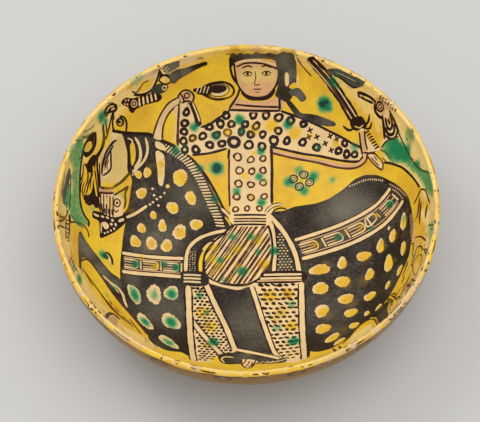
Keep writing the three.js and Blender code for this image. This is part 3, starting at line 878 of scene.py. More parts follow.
# Birds, leaves and marks around the horse and rider
def paintLeftBird():
    area("cream", [(-150, 172), (-134, 166), (-120, 168), (-112, 177), (-109, 190), (-111, 202),
                   (-128, 194), (-142, 184)])
    wash("yellow", [(-136, 170), (-122, 170), (-114, 178), (-113, 190), (-122, 184), (-130, 178)])
    wash("green", [(-152, 176), (-140, 174), (-130, 182), (-128, 190), (-138, 190), (-148, 184)], 0.45)
    strokes("line", 3, [(-138, 164), (-124, 167), (-114, 174), (-110, 186), (-110, 202)])
    strokes("brown", 2.4, [(-142, 168), (-135, 167), (-131, 173), (-128, 180), (-121, 184)])
    # striped body with a ring eye
    area("line", [(-153, 153), (-148, 159), (-139, 160), (-130, 163), (-118, 168), (-107, 172), (-99, 168),
                  (-102, 162), (-116, 157), (-128, 150), (-133, 144), (-139, 146), (-141, 149),
                  (-150, 150)])
    ring("buff", (-134, 154.5), (4.6, 4.3), 1.3)
    dab("buff", (-134, 154.5), (1.6, 1.5))
    for u, v in ((-147, 156), (-143, 152), (-147, 151.5), (-143, 157)):
        dab("buff", (u, v), (1.2, 1.5), 20)
    for step, u in enumerate((-127, -122, -117, -112, -107)):
        stroke("cream", [(u - 2, 162.5 + step * 2), (u + 1.5, 153 + step * 2.5)], 2.3)
    # head, beak and crest reaching the rim
    area("black", [(-116, 172), (-108, 181), (-100, 182), (-93, 180), (-97, 173), (-106, 170)])
    ring("cream", (-98, 178), (3.4, 3), 1.3)
    strokes("line", 3.4, [(-112, 200), (-107, 194), (-103, 192), (-96, 193), (-88, 187)],
            [(-107, 194), (-106, 184)])
    outlined("ground", "line", [(-107, 186), (-103, 192), (-95, 191), (-91, 186), (-98, 182)], 2.2)
    area("black", [(-92, 186), (-86, 184), (-80, 190), (-68, 198), (-56, 205), (-48, 209), (-50, 213),
                   (-62, 209), (-76, 204), (-88, 200), (-94, 194)])
    area("grey", [(-108, 204), (-102, 196), (-94, 198), (-86, 203), (-80, 211), (-88, 213), (-98, 209)])
    strokes("cream", 1.8, [(-110, 198), (-105, 206)], [(-106, 196), (-100, 205)], [(-101, 196), (-97, 202)])
    area("cream", [(-84, 207), (-78, 206), (-66, 212), (-62, 220), (-74, 221), (-84, 214)])
    bleed("hazeAndSheen", (-94, 206, 8, 0.8), (-74, 200, 8, 0.6), (-88, 192, 6, 0.5))
    bleed("green", (-104, 176, 6, 0.7), (-96, 197, 5, 0.6))
    strokes("brown", 1.6, [(-176, 146), (-168, 149), (-160, 148)])


def paintRightBird():
    area("buff", [(156, 152), (168, 156), (182, 153), (188, 144), (180, 134), (172, 138), (164, 134),
                  (155, 142)])
    for number in range(7):
        u, v = 168 + 3.4 * number, 156 - 3.2 * number
        strokes("slate" if number % 3 else "plum", 3.2, [(u - 3, v - 5), (u + 3, v), (u + 5, v + 1)],
                ends=3)
    strokes("cream", 1.8, [(172, 152), (178, 148), (184, 146)], [(176, 142), (182, 141), (188, 138)],
            ends=3)
    strokes("line", 4, [(135, 167), (144, 163), (152, 158), (159, 150)],
            [(137, 161), (146, 156), (154, 150)])
    stroke("line", [(136, 167), (136, 160)], 3)
    strokes("tan", 1.6, [(142, 160), (153, 153.5)])
    strokes("line", 3.6, [(157, 151), (154, 142), (158, 134), (166, 130), (173, 133)])
    ring("line", (163, 144.5), (7, 6.6), 2.5)
    ring("line", (163, 144.5), (3.4, 3.2), 1.5)
    area("cream", [(163, 132), (176, 136), (181, 122), (182, 104), (160, 104), (162, 118)])
    strokes("line", 3.8, [(163, 135), (161, 120), (159, 108)], [(176, 137), (180, 122), (182, 108)])
    strokes("line", 3.6, [(167, 132), (166, 122), (168, 117), (172, 117), (175, 122), (175, 133)],
            [(163, 121), (165, 113), (170, 110), (175, 112), (178, 121)])
    strokes("line", 3, [(161, 112), (166, 107), (172, 105), (178, 108), (181, 112)])
    dab("line", (170.6, 125), (2, 4))
    strokes("cream", 1.5, [(165, 134), (168, 131), (174, 134)])
    wash("cream", [(182, 138), (192, 136), (206, 116), (212, 100), (196, 100), (190, 96), (183, 104),
                   (181, 122)])
    wash("cream", [(150, 104), (156, 120), (158, 138), (150, 146), (148, 130), (150, 116)], 0.9)
    wash("cream", [(146, 172), (158, 164), (170, 158), (158, 154), (146, 162)])
    bleed("green", (190, 112, 3, 0.4))


def paintGreenTail():
    wash("cream", [(186, 98), (206, 104), (216, 84), (226, 60), (232, 40), (216, 44), (204, 58),
                   (194, 72)])
    wash("cream", [(154, 108), (182, 108), (192, 70), (212, 46), (232, 44), (232, -4), (214, 8), (196, 44),
                   (178, 70), (154, 84)])
    wash("green", [(152, 99), (160, 106), (170, 106), (179, 104), (184, 96), (189, 84), (194, 74),
                   (200, 66), (208, 58), (214, 52), (224, 44), (229, 30), (229, 8), (218, 14), (208, 30),
                   (202, 42), (196, 52), (190, 60), (184, 67), (176, 74), (164, 79), (158, 86)], 0.72)
    wash("green", [(163, 101), (174, 105), (184, 98), (190, 86), (190, 72), (180, 76), (168, 84)], 0.86)
    wash("green", [(190, 104), (200, 110), (210, 104), (212, 92), (200, 90), (190, 94)], 0.5)
    wash("smoke", [(196, 108), (206, 108), (210, 96), (200, 92)], 0.9)
    wash("green", [(198, 70), (208, 68), (208, 58), (200, 62)], 0.8)
    wash("green", [(189, 92), (197, 90), (196, 80), (190, 80)], 0.8)
    wash("yellow", [(191, 90), (200, 88), (204, 76), (200, 72), (192, 80)], 0.7)
    bleed("green", (180, 90, 9, 0.95), (172, 94, 7, 0.9), (186, 80, 6, 0.9), (204, 63, 4, 0.9),
          (193, 98, 3, 0.9), (222, 30, 6, 0.5), (212, 44, 5, 0.7))
    strokes("line", 2.2, [(152, 100), (158, 104), (166, 105.5), (180, 105)],
            [(181, 110), (184, 100), (188, 88), (193, 75), (200, 63), (208, 54), (216, 48), (226, 41)])
    strokes("line", 2.8, [(152, 84), (160, 81), (170, 75), (178, 69), (188, 57), (195, 46), (200, 36)])
    strokes("cream", 1, [(196, 104), (202, 101), (207, 97)], [(198, 98), (203, 95)], ends=3)
    # the yellow leaves under the tail
    strokes("brown", 2.4, [(187, 22), (195, 28), (201, 34)], [(201, 34), (209, 28), (213, 16), (216, 6)])
    strokes("brown", 3, [(198, 26), (194, 12), (190, 2)], [(200, 20), (196, 5), (194, -8)], ends=3)
    strokes("olive", 5, [(211, 10), (207, 2), (205, -7)], ends=3)
    strokes("brown", 2, [(210, 8), (207, 1), (206, -6)], ends=3)
    wash("cream", [(196, 30), (206, 26), (209, 14), (204, 6), (200, 16)], 0.5)
    wash("smoke", [(186, 8), (193, 6), (194, -8), (187, -6)], 0.9)


def paintLeftPlants():
    for kind, strength, points in leftRimPatches:
        wash(kind, points, strength)
    bleed("green", (-188, 2, 9, 0.72), (-199, 50, 7, 0.66), (-200, 74, 8, 0.6), (-209, 15, 5, 0.8))
    strokes("inkBlue", 1.8, [(-208, 50), (-205, 34), (-203, 18), (-203, 6)], [(-212, 44), (-208, 30)],
            ends=4)
    strokes("slate", 8, [(-213, 54), (-212, 44), (-214, 32), (-215, 16), (-213, 6)])
    strokes("grey", 2.2, [(-222, 40), (-221, 26), (-220, 10)], [(-217, 46), (-216, 30), (-216, 12)],
            [(-200, 2), (-188, -2), (-176, -3)], ends=4)
    strokes("brown", 1.3, [(-224, 46), (-222, 30), (-223, 14)], [(-218, 88), (-206, 91), (-197, 99)],
            [(-206, 102), (-194, 109), (-186, 118)], [(-198, 98), (-188, 106), (-178, 108)], ends=3)
    strokes("olive", 3.4, [(-204, 97), (-194, 100), (-184, 107)], [(-196, 90), (-190, 98), (-182, 104)],
            ends=3)
    strokes("line", 3.4, [(-195, 88), (-193, 62), (-190, 44), (-187, 29), (-182, 18), (-176, 12),
                          (-171, 9), (-171, 2)])
    # the long leaf and dark feathers before the horse's face
    strokes("line", 4, [(-172, 122), (-166, 106), (-167, 94), (-173, 84), (-183, 71), (-190, 66)])
    area("line", [(-181, 111), (-177, 104), (-176, 95), (-180, 85), (-188, 78), (-195, 82), (-195, 90),
                  (-190, 100)])
    wash("yellow", [(-184, 98), (-182, 92), (-186, 86), (-192, 84), (-193, 90), (-189, 96)])
    area("tan", [(-184, 98), (-182, 92), (-186, 86), (-192, 84), (-193, 90), (-189, 96)])
    strokes("olive", 1.4, [(-182, 106), (-180, 96), (-183, 88)], ends=3)
    strokes("line", 3, [(-184, 110), (-190, 100), (-194, 90), (-195, 78)])
    bleed("green", (-188, 90, 6, 0.34), (-180, 84, 4, 0.4), (-196, 104, 8, 0.5))
    area("line", [(-180, 82), (-173, 86), (-171, 76), (-174, 66), (-181, 64), (-184, 72)])
    area("ground", [(-189, 68), (-184, 66), (-180, 58), (-183, 50), (-189, 52)])
    strokes("line", 2.2, [(-190, 70), (-188, 58), (-191, 46)],
            [(-189, 72), (-182, 66), (-179, 56), (-181, 46)], ends=3)
    bleed("green", (-185, 60, 5, 0.3))
    area("line", [(-171, 64), (-167, 52), (-161, 40), (-159, 32), (-163, 28), (-167, 31), (-173, 27),
                  (-179, 30), (-182, 35), (-174, 40), (-171, 46)])
    for number in range(4):
        u, v = -188 + 3 * number, 50 - 3 * number
        strokes("line", 1.5, [(u + 1.5, v + 4), (u, v - 5), (u + 1.5, v - 14)], ends=3)
    strokes("line", 2.2, [(-177, 76), (-175, 62), (-177, 50), (-178, 40)], ends=3)
    strokes("brown", 1.6, [(-171, 74), (-174, 60), (-174, 46)], ends=3)
    bleed("green", (-168, 26, 6, 0.5), (-172, 20, 7, 0.35), (-176, 38, 4, 0.4))
    # sprig near the left rim
    strokes("brown", 2.2, [(-204, 6), (-208, -6), (-213, -14), (-228, -30)],
            [(-208, -8), (-220, -15), (-230, -20)], [(-230, -38), (-218, -28), (-207, -22)], ends=3)
    strokes("line", 1.8, [(-207, -8), (-207.5, -24), (-207, -39)], [(-200, -2), (-200, -16), (-201, -30)],
            ends=2)
    dab("line", (-201, -4), (2.4, 5.4), 10)
    for number in range(5):
        v = -11 - 6.2 * number
        outlined("ground", "line", oval((-204, v), (3.6, 2.5), 25 * (-1) ** number)[::2], 1.4)
    bleed("green", (-204, -14, 4, 0.3))
    strokes("tan", 3, [(-198, -8), (-196, -24), (-197, -38), (-192, -47)], ends=3)
    strokes("brown", 2.2, [(-201, -9), (-193, -4), (-183, 0), (-176, 0), (-171, -4), (-169, -11)])


def paintLowerLeft():
    wash("cream", [(-196, -60), (-176, -74), (-150, -100), (-128, -120), (-103, -130), (-103, -160),
                   (-150, -170), (-212, -104)], 0.8)
    area("black", [(-184, -12), (-172, -18), (-158, -28), (-150, -35), (-140, -43), (-129, -50),
                   (-124, -72), (-104, -100), (-100, -119), (-108, -109), (-117, -96), (-127, -85),
                   (-135, -76), (-143, -66), (-150, -56), (-160, -47), (-170, -41), (-177, -43),
                   (-180, -50), (-181, -62), (-184, -60)])
    bleed("hazeAndSheen", (-172, -28, 14, 1), (-152, -46, 12, 0.9), (-180, -24, 10, 0.9), (-136, -56, 8, 0.7))
    strokes("cream", 2.6, [(-150, -52), (-141, -57), (-132, -61), (-127, -68), (-125, -76), (-122, -85)])
    strokes("tan", 1.8, [(-142, -58), (-136, -62), (-131, -68)])
    bleed("green", (-138, -64, 4, 0.9), (-142, -61, 3, 0.5))
    strokes("cream", 3, [(-98, -130), (-97, -140), (-98, -150)], [(-91, -142), (-86, -138), (-80, -142)])
    strokes("clay", 3, [(-94, -134), (-92, -144)], [(-103, -126), (-104, -140)])
    # the long yellow leaf and its veins
    strokes("brown", 2.2, [(-180, -50), (-174, -43), (-168, -42), (-160, -47), (-150, -57), (-143, -66),
                           (-135, -76), (-127, -85), (-117, -96), (-108, -109), (-101, -120)])
    wash("yellow", [(-176, -56), (-164, -52), (-146, -66), (-128, -86), (-104, -116), (-106, -128),
                    (-126, -108), (-150, -84), (-170, -66)])
    strokes("brown", 3, [(-180, -60), (-166, -70), (-152, -84), (-142, -97), (-126, -108)],
            [(-154, -84), (-144, -92), (-132, -104), (-120, -112)],
            [(-120, -102), (-114, -112), (-107, -124)], ends=3)
    strokes("line", 2.2, [(-147, -80), (-143, -84), (-140, -92)],
            [(-130, -103), (-122, -107), (-116, -116)], [(-176, -62), (-170, -70), (-164, -78)],
            [(-137, -93), (-131, -99)], ends=3)
    strokes("olive", 2.6, [(-150, -76), (-140, -86), (-130, -96), (-122, -106)],
            [(-166, -66), (-156, -76)], ends=3)
    bleed("green", (-146, -78, 6, 0.45), (-120, -106, 7, 0.35), (-130, -96, 5, 0.3))
    bleedOval("green", (-187, -88), (5, 14), -14, 0.95)
    bleedOval("green", (-196, -74), (6, 12), -20, 0.5)
    for u, v in ((-197, -64), (-201, -72), (-193, -72), (-197, -80)):
        dab("slate", (u, v), (3, 4), hand.uniform(0, 90), 0.2)
        dab("tan", (u, v), (1.1, 1.7), hand.uniform(0, 90), 0.2)
    bleedOval("green", (-192, -108), (5, 8), -20, 0.4)
    strokes("plum", 4.5, [(-131, -112), (-140, -108), (-147, -115), (-153, -130), (-163, -152)], ends=2)
    area("clay", [(-152, -136), (-146, -120), (-140, -113), (-135, -117), (-138, -130), (-142, -148)])
    wash("cream", [(-132, -122), (-116, -122), (-103, -132), (-104, -148), (-128, -148), (-138, -138)], 0.7)
    strokes("tan", 3.4, [(-140, -140), (-126, -150), (-104, -150)],
            [(-178, -62), (-184, -74), (-190, -82)], ends=3)
    strokes("brown", 1.8, [(-200, -56), (-193, -68), (-186, -76)], [(-206, -60), (-200, -72)],
            [(-186, -60), (-178, -68)], [(-192, -96), (-184, -108), (-176, -122)], ends=3)
    strokes("cream", 2, [(-204, -60), (-196, -76)], [(-180, -84), (-172, -100), (-168, -114)],
            [(-176, -84), (-164, -98)], ends=4)
    # the curled drop between the rein and the chest
    bleed("green", (-150, -24, 6.5, 0.9), (-141, -33, 5, 0.4))
    strokes("line", 2.8, [(-149, -21), (-144, -20), (-140, -25), (-139, -33)], ends=2)
    dab("line", (-147, -25), (3.6, 2.8), -30)
    dab("cream", (-142, -28), (1.2, 3), 20)


def paintGroundMarks():
    for u, v in ((50, 83), (61, 87), (67, 78), (56, 74)):
        dab("cream", (u, v), (5, 5))
        ring("line", (u, v), (5.2, 5), 1.7)
        ring("brown", (u, v), (2.6, 2.4), 1.0)
    bleed("green", (45, 80, 7, 0.9), (56, 92, 7, 0.7), (71, 84, 7, 0.9), (61, 69, 7, 0.8), (52, 74, 5, 0.6),
          (76, 87, 6, 0.5), (92, 78, 6, 0.6), (76, 100, 5, 0.35), (58, 80, 4, 0.5))
    bleed("green", (-31, 96, 8.5, 1.1), (-26, 88, 5, 0.3), (90, 160, 10, 1.1), (94, 155, 6, 0.9))
    dab("inkBlue", (-31, 96), (4.4, 5.8), 0, 0.1)
    dab("inkBlue", (87, 160), (4.2, 3.6), 0, 0.1)
    dab("inkBlue", (92.5, 162), (2.6, 2.2), 0, 0.1)
    area("slate", [(100, 196), (107, 200), (119, 198), (133, 190), (147, 181), (151, 176), (142, 172),
                   (132, 173), (122, 182), (110, 189)])
    strokes("line", 2.4, [(108, 191), (117, 186), (124, 179), (131, 173), (138, 173)])
    for number in range(9):
        u, v = 108 + 4.3 * number, 196 - 2.5 * number
        strokes("line" if number % 2 else "inkBlue", 1.0, [(u - 6, v + 3), (u, v), (u + 5, v - 4.6)],
                ends=3)
    strokes("cream", 0.9, [(112, 194), (121, 190), (130, 184)], [(128, 186), (138, 179)], ends=3)
    bleed("green", (114, 194, 7, 0.5), (132, 184, 6, 0.4), (116, 180, 5, 0.3))
    strokes("line", 2.8, [(90, 207), (96, 200), (103, 196)])


# Soft patches by the right rim, and the number of streaks and specks along the rump's edge
rightSide = {"streaks": 70, "specks": 46, "bearings": (-48, -6)}
rightRimPatches = [
    ("cream", 1.0, [(214, 0), (196, 12), (198, -8), (206, -20), (200, -46), (206, -74), (176, -84),
                    (166, -100), (170, -128), (196, -124), (226, -60), (232, 0)]),
    ("green", 0.5, [(208, -16), (228, -26), (228, -52), (216, -52), (208, -34)]),
    ("green", 0.3, [(208, -46), (222, -56), (216, -74), (205, -60)]),
    ("green", 0.3, [(180, -34), (188, -32), (190, -50), (178, -52)]),
    ("smoke", 0.3, [(176, -52), (186, -52), (188, -62), (178, -66)]),
    ("smoke", 0.9, [(168, -80), (182, -78), (190, -96), (176, -102)]),
    ("smoke", 0.5, [(196, -58), (208, -62), (206, -84), (196, -76)]),
    ("smoke", 0.35, [(180, -84), (204, -90), (196, -112), (180, -104)]),
    ("smoke", 0.4, [(210, 18), (220, 16), (220, 4), (210, 6)]),
]


def paintRightSide():
    for kind, strength, points in rightRimPatches:
        wash(kind, points, strength)
    # streaks along the rump's edge and along the rim
    for number in range(rightSide["streaks"]):
        turn = math.radians(hand.uniform(*rightSide["bearings"]))
        edge = np.interp(math.degrees(turn), (-48, -32, -20, -6), (168, 184, 184, 188))
        reach = edge + (hand.uniform(-4, 8) if number % 2 else hand.uniform(6, 26))
        colour = ("black", "olive", "tan", "brown", "olive", "cream", "clay")[number % 7]
        if number % 2 == 0 and colour == "black":
            colour = "brown"
        half = hand.uniform(1.2, 3.4)
        path = [onRim(math.degrees(turn) + half * k, reach + hand.uniform(-0.8, 0.8)) for k in (-1, 0, 1)]
        stroke(colour, path, hand.uniform(0.9, 2.4), 4, rough=0.4)
    strokes("brown", 2.2, [(186, -20), (196, -26), (206, -40)], [(188, -36), (196, -40), (200, -50)],
            [(202, -50), (208, -62), (214, -72)], [(184, -84), (192, -98), (204, -118)], ends=3)
    strokes("olive", 2.6, [(200, -48), (208, -56), (214, -66)], [(150, -84), (158, -86), (162, -94)],
            [(164, -96), (168, -104), (174, -110)], [(210, -20), (218, -26), (226, -34)], ends=3)
    strokes("grey", 2, [(212, -20), (220, -28), (228, -34)], [(214, -28), (220, -34), (226, -42)], ends=3)
    strokes("plum", 4.5, [(176, -88), (180, -92), (184, -98)], [(180, -56), (184, -60)], ends=2)
    bleed("green", (178, -48, 6, 0.35), (150, -96, 7, 0.3), (188, -42, 5, 0.35), (156, -82, 5, 0.35))
    outlined("ground", "brown", [(184, -56), (193, -52), (199, -58), (197, -74), (190, -82), (185, -72)],
             1.4)
    wash("cream", [(186, -60), (192, -58), (195, -68), (191, -78), (187, -72)], 0.7)
    for number in range(rightSide["specks"]):
        place = np.array([hand.uniform(180, 189), hand.uniform(-29, 10)])
        dab(("buff", "clay", "line")[number % 3], place, (hand.uniform(0.7, 1.5), hand.uniform(0.5, 1.1)),
            20, 0.2)


def paintLowerRight():
    area("black", [(128, -104), (150, -92), (151, -108), (156, -128), (164, -146), (172, -160), (156, -172),
                   (149, -152), (142, -130), (136, -112)])
    strokes("plum", 2.4, [(148, -112), (153, -130), (161, -150)], [(144, -116), (150, -140)], ends=3)
    loop = [(108, -127), (113, -119), (119, -113), (126, -111), (133, -114), (138, -125), (143, -142),
            (149, -160), (130, -172), (110, -170), (100, -150), (101, -137)]
    area("ground", loop)
    wash("yellow", loop)
    wash("cream", [(112, -124), (124, -122), (132, -120), (142, -152), (128, -168), (104, -150),
                   (106, -134)], 0.9)
    strokes("brown", 2.2, [(98, -140), (107, -129), (112, -120), (118, -113), (126, -110), (133, -113),
                           (138, -124), (143, -141)])
    strokes("olive", 3, [(116, -118), (124, -115), (132, -119)], ends=3)
    strokes("clay", 2.4, [(132, -122), (137, -136), (142, -150)], [(102, -142), (110, -150)], ends=3)
    strokes("plum", 3, [(88, -142), (92, -152), (94, -166)], [(95, -141), (99, -154)], ends=3)
    strokes("olive", 5, [(148, -86), (154, -96), (158, -104)], ends=2)
    strokes("brown", 2.4, [(154, -86), (160, -95), (164, -104)], ends=3)


# The part of the wall next to the near lip, plainer: ovals, rings and drops
def paintNearWall():
    for u, v, turn in ((-30, -190, 25), (18, -194, -20), (58, -190, 15), (-142, -156, 40), (0, -214, 0)):
        outlined("ground", "brown", oval((u, v), (13, 6.5), turn, 0.05)[::3], 1.8)
        bleed("green", (u, v, 5, 0.7))
    for u, v in ((-52, -182), (-8, -180), (38, -180), (80, -190)):
        ring("brown", (u, v), (3.6, 3.4), 1.3)
    bleed("yellow", (-52, -182, 5, 0.6), (38, -180, 5, 0.6))
    # pale mottling and a thin broken line below the near lip
    for bearing in range(-140, -42, 6):
        place = onRim(bearing + hand.uniform(-3, 3), inside.reach - hand.uniform(5, 15))
        size = (hand.uniform(6, 14), hand.uniform(2.5, 5))
        bleedOval("smoke" if bearing % 4 else "cream", place, size, bearing + 90, hand.uniform(0.3, 0.9))
    for start in (-132, -118, -101, -84, -66, -55):
        path = [onRim(start + 2.6 * k, inside.reach - 7.5 + hand.uniform(-0.5, 0.5)) for k in range(5)]
        stroke("brown", path, hand.uniform(0.8, 1.4), ends=6)


# Bearing in degrees and distance from the middle where the yellow gives way to paler glaze near the rim
rimFade = [(-180, 196), (-160, 190), (-140, 190), (-120, 176), (-90, 182), (-60, 176), (-40, 184),
           (-20, 196), (0, 200), (30, 190), (45, 186), (60, 198), (75, 208), (90, 226), (105, 208),
           (120, 196), (140, 190), (160, 188), (180, 196)]
# Bearing, spread and strength of the places on the lip that are worn to bare clay
lipWear = [(-36, 13, 0.52), (-64, 8, 0.45), (-8, 9, 0.3), (-128, 8, 0.42), (-146, 1.2, 0.6),
           (-134, 2, 0.5), (-122, 1.4, 0.5), (-104, 1.2, 0.5), (-96, 2, 0.4), (-70, 1.5, 0.5),
           (-58, 2, 0.6), (-50, 2, 0.6), (-36, 1.6, 0.6), (-28, 2, 0.5), (-12, 2, 0.4), (128, 3, 0.35),
           (112, 2, 0.35), (64, 3, 0.3), (20, 3, 0.4), (160, 3, 0.4), (176, 2, 0.4), (88, 4, 0.4)]
# Dabs that cross the lip: bearing, half width in degrees, length inward and outward, colour
lipDabs = [(-141, 1.5, 7, 4, "plum"), (-138, 0.8, 5, 3, "brown"), (-135.5, 1.2, 9, 5, "clay"),
           (-105, 1.3, 6, 3, "grey"), (-60.5, 0.7, 9, 4, "plum"), (-58.6, 0.8, 8, 3, "cream"),
           (-57, 0.5, 7, 4, "plum"), (-53, 1.4, 5, 3, "clay"), (-46.5, 1.1, 8, 2, "clay"),
           (-43.5, 1.5, 13, 6, "plum"), (-40.5, 1.4, 12, 7, "line"), (-38, 0.8, 8, 5, "plum"),
           (-31, 0.6, 6, 4, "brown"), (-25, 0.7, 5, 4, "plum")]
lipChips = {"count": 200, "spread": (0.2, 1.1), "deep": (0.6, 3.6),
            "colours": ("cream", "tan", "cream", "clay", "cream", "brown", "cream", "olive")}


def paintLip():
    marks = list(lipDabs)
    # a thin broken line on the crest
    for start in range(-180, 180, 7):
        span, width, shift = hand.uniform(3, 7), hand.uniform(0.6, 1.5), hand.uniform(-1.6, 0.4)
        bearings = [start + span * k / 5 for k in range(6)]
        depths = [width * (0.3 if k in (0, 5) else 1) for k in range(6)]
        for side, crest in ((inside, inside.reach - shift), (outside, outside.reach + shift)):
            upper = [onRim(bearing, crest + hand.uniform(-0.2, 0.2)) for bearing in bearings]
            lower = [onRim(bearing, crest - depth) for bearing, depth in zip(bearings, depths)]
            side.shapes.append(("brown" if start % 2 else "tan", [np.array(upper + lower[::-1])]))
    for number in range(lipChips["count"]):
        marks.append((hand.uniform(-180, 180), hand.uniform(*lipChips["spread"]),
                      hand.uniform(*lipChips["deep"]), hand.uniform(*lipChips["deep"]),
                      lipChips["colours"][number % len(lipChips["colours"])]))
    for bearing, spread, inward, outward, colour in marks:
        lean = hand.uniform(-0.5, 0.5) * spread
        for side, deep in ((inside, inward), (outside, outward)):
            loop = [(bearing - spread, 2), (bearing + spread, 2),
                    (bearing + spread * hand.uniform(0.7, 1.1), -deep * 0.4),
                    (bearing + lean + spread * 0.4, -deep),
                    (bearing + lean - spread * 0.4, -deep * hand.uniform(0.6, 1)),
                    (bearing - spread * hand.uniform(0.7, 1.1), -deep * 0.4)]
            points = [onRim(angle, side.reach + step) for angle, step in loop]
            side.shapes.append((colour, [curveThrough(points, closed=True)]))


# Small soft blotches by the rim: bearings, distances, number, kinds, and each kind's strength
rimMottle = [((145, 180), (206, 231), 26, ("cream", "green", "cream", "smoke")),
             ((112, 145), (208, 231), 26, ("cream", "yellow", "smoke", "cream", "green")),
             ((62, 112), (216, 232), 30, ("smoke", "cream", "yellow", "cream")),
             ((24, 62), (206, 231), 24, ("cream", "yellow", "cream", "green")),
             ((-12, 24), (208, 231), 22, ("cream", "green", "cream")),
             ((-62, -12), (196, 230), 34, ("cream", "smoke", "yellow", "green", "cream")),
             ((-180, -120), (196, 228), 34, ("cream", "smoke", "yellow", "cream", "green"))]
mottleStrength = {"cream": (0.4, 0.9), "yellow": (0.6, 1), "smoke": (0.2, 0.6), "green": (0.14, 0.4)}


def mottleRim():
    for bearings, distances, count, kinds in rimMottle:
        for number in range(count):
            kind = kinds[number % len(kinds)]
            bearing, distance = hand.uniform(*bearings), hand.uniform(*distances)
            size = (hand.uniform(3, 8), hand.uniform(2, 4.5))
            turn, strength = hand.uniform(60, 120), hand.uniform(*mottleStrength[kind])
            inside.spots.append((kind, *onRim(bearing, distance), *size, bearing + turn, strength))
            beyond = inside.reach - distance
            if beyond < 8:
                place = onRim(bearing, outside.reach + beyond)
                outside.spots.append((kind, *place, *size, bearing - turn, strength))


# Weathered streaks along the rim: bearings, distances from the middle, number, colours
rimStreaks = [((-178, -140), (192, 224), 34, ("cream", "tan", "brown", "cream", "clay")),
              ((-140, -112), (176, 214), 24, ("cream", "clay", "tan", "brown")),
              ((-66, -28), (184, 222), 34, ("cream", "clay", "brown", "tan", "plum")),
              ((-28, 24), (204, 226), 26, ("cream", "tan", "clay", "cream")),
              ((24, 62), (204, 226), 26, ("cream", "tan", "cream", "grey")),
              ((62, 112), (222, 230), 26, ("cream", "tan", "grey", "clay")),
              ((112, 146), (206, 228), 34, ("cream", "tan", "grey", "cream")),
              ((146, 180), (208, 228), 30, ("cream", "grey", "tan", "cream"))]


def paintRimStreaks():
    for bearings, distances, count, colours in rimStreaks:
        for number in range(count):
            bearing, distance = hand.uniform(*bearings), hand.uniform(*distances)
            turn, length = hand.uniform(0.6, 3.2), hand.uniform(-4, 4)
            path = [onRim(bearing, distance), onRim(bearing + turn * 0.5, distance + length * 0.6),
                    onRim(bearing + turn, distance + length)]
            stroke(colours[number % len(colours)], path, hand.uniform(0.8, 2.6), 3, rough=0.4)


def paintInside():
    for paint in (mottleRim, paintRimStreaks, paintLeftPlants, paintLowerLeft, paintRightBird,
                  paintGreenTail, paintRightSide, paintLeftBird, paintNearWall, paintHorseBody,
                  paintRumpEdge, paintLowerRight, paintHorseHead, paintHeadstall, paintHarness,
                  paintTunic, paintArms, paintCup, paintCollar, paintFace, paintHat, paintSword,
                  paintSaddle, paintSkirt, paintSash, paintLeg, paintGirth, paintGroundMarks):
        paint()


# The outside: ovals, clouds and thin rings round the wall under a darker glaze, darkened partly
# as painted shade of the outer wall
outsideBand = {"ovals": 18, "distance": 245, "size": (9, 4.8), "lineWidth": 2.2, "paleLip": 5.5,
               "clouds": 70, "rings": 7, "dripLine": 118}


def wavyCircle(distance, first, second):
    angle = np.radians(np.arange(0, 360, 1.5))
    wave = first * np.sin(5 * angle) + second * np.sin(11 * angle + 0.7)
    return np.column_stack([np.cos(angle), np.sin(angle)]) * (distance + wave)[:, None]


def paintOutside():
    reach, band = outside.reach, outsideBand
    # the whole wall below the pale lip in amber: partly its own glaze, partly painted shade
    lay("amberAndShade", wavyCircle(reach - band["paleLip"], 0.3, 0.4))
    # thick and thin places in the glaze, and a few broken throwing rings
    for number in range(band["clouds"]):
        bearing, distance = hand.uniform(-180, 180), hand.uniform(122, reach - 12)
        size = (hand.uniform(10, 34), hand.uniform(4, 12))
        kind = "smoke" if number % 3 == 0 else "yellow"
        bleedOval(kind, onRim(bearing, distance), size, bearing + 90, hand.uniform(0.25, 0.6))
    for number in range(band["rings"]):
        start, span = hand.uniform(-180, 180), hand.uniform(40, 110)
        distance = 132 + number * (reach - 164) / band["rings"]
        path = [onRim(start + span * k / 12, distance + hand.uniform(-0.6, 0.6)) for k in range(13)]
        stroke("olive", path, hand.uniform(0.9, 1.8), ends=8)
    for start in range(-180, 180, 15):
        span = hand.uniform(9, 15)
        edge = reach - band["paleLip"]
        path = [onRim(start + span * k / 6, edge + hand.uniform(-0.5, 1.2)) for k in range(7)]
        stroke("brown", path, hand.uniform(1.0, 2.0), ends=4)
    for number in range(band["ovals"]):
        bearing = number * 20 + 4 + hand.uniform(-1.5, 1.5)
        centre = onRim(bearing, band["distance"])
        stretch = band["distance"] / np.interp(band["distance"], outside.arc, outside.radius)
        size = (band["size"][0] * stretch, band["size"][1])
        ring("line", centre, size, band["lineWidth"], bearing + 90, 0.08)
        bleed("green" if number % 3 == 0 else "yellow", (*centre, 5, 0.4))
    # thin glaze stops short of the foot in drips
    lay("clay", wavyCircle(band["dripLine"], 6, 5))


paintInside()
page = outside
paintOutside()
page = inside
paintLip()
print("painted:", len(inside.shapes), "shapes inside and", len(outside.shapes), "outside")


# The mesh: each side is cut into triangles along the painted outlines
def circlePoints(distance, count, shift=0.0):
    angle = (np.arange(count) + shift) * 2 * math.pi / count
    return np.column_stack([distance * np.cos(angle), distance * np.sin(angle)])


def fillInside(side):
    spacing = meshFineness["insideSpacing"]
    rows = np.arange(-side.reach, side.reach, spacing * 0.866)
    points = []
    for number, v in enumerate(rows):
        us = np.arange(-side.reach + (number % 2) * spacing / 2, side.reach, spacing)
        points.append(np.column_stack([us, np.full(len(us), v)]))
    points = np.vstack(points)
    points += hand.uniform(-0.2, 0.2, points.shape) * spacing
    return [points[np.linalg.norm(points, axis=1) < side.reach - meshFineness["fillGap"]]]


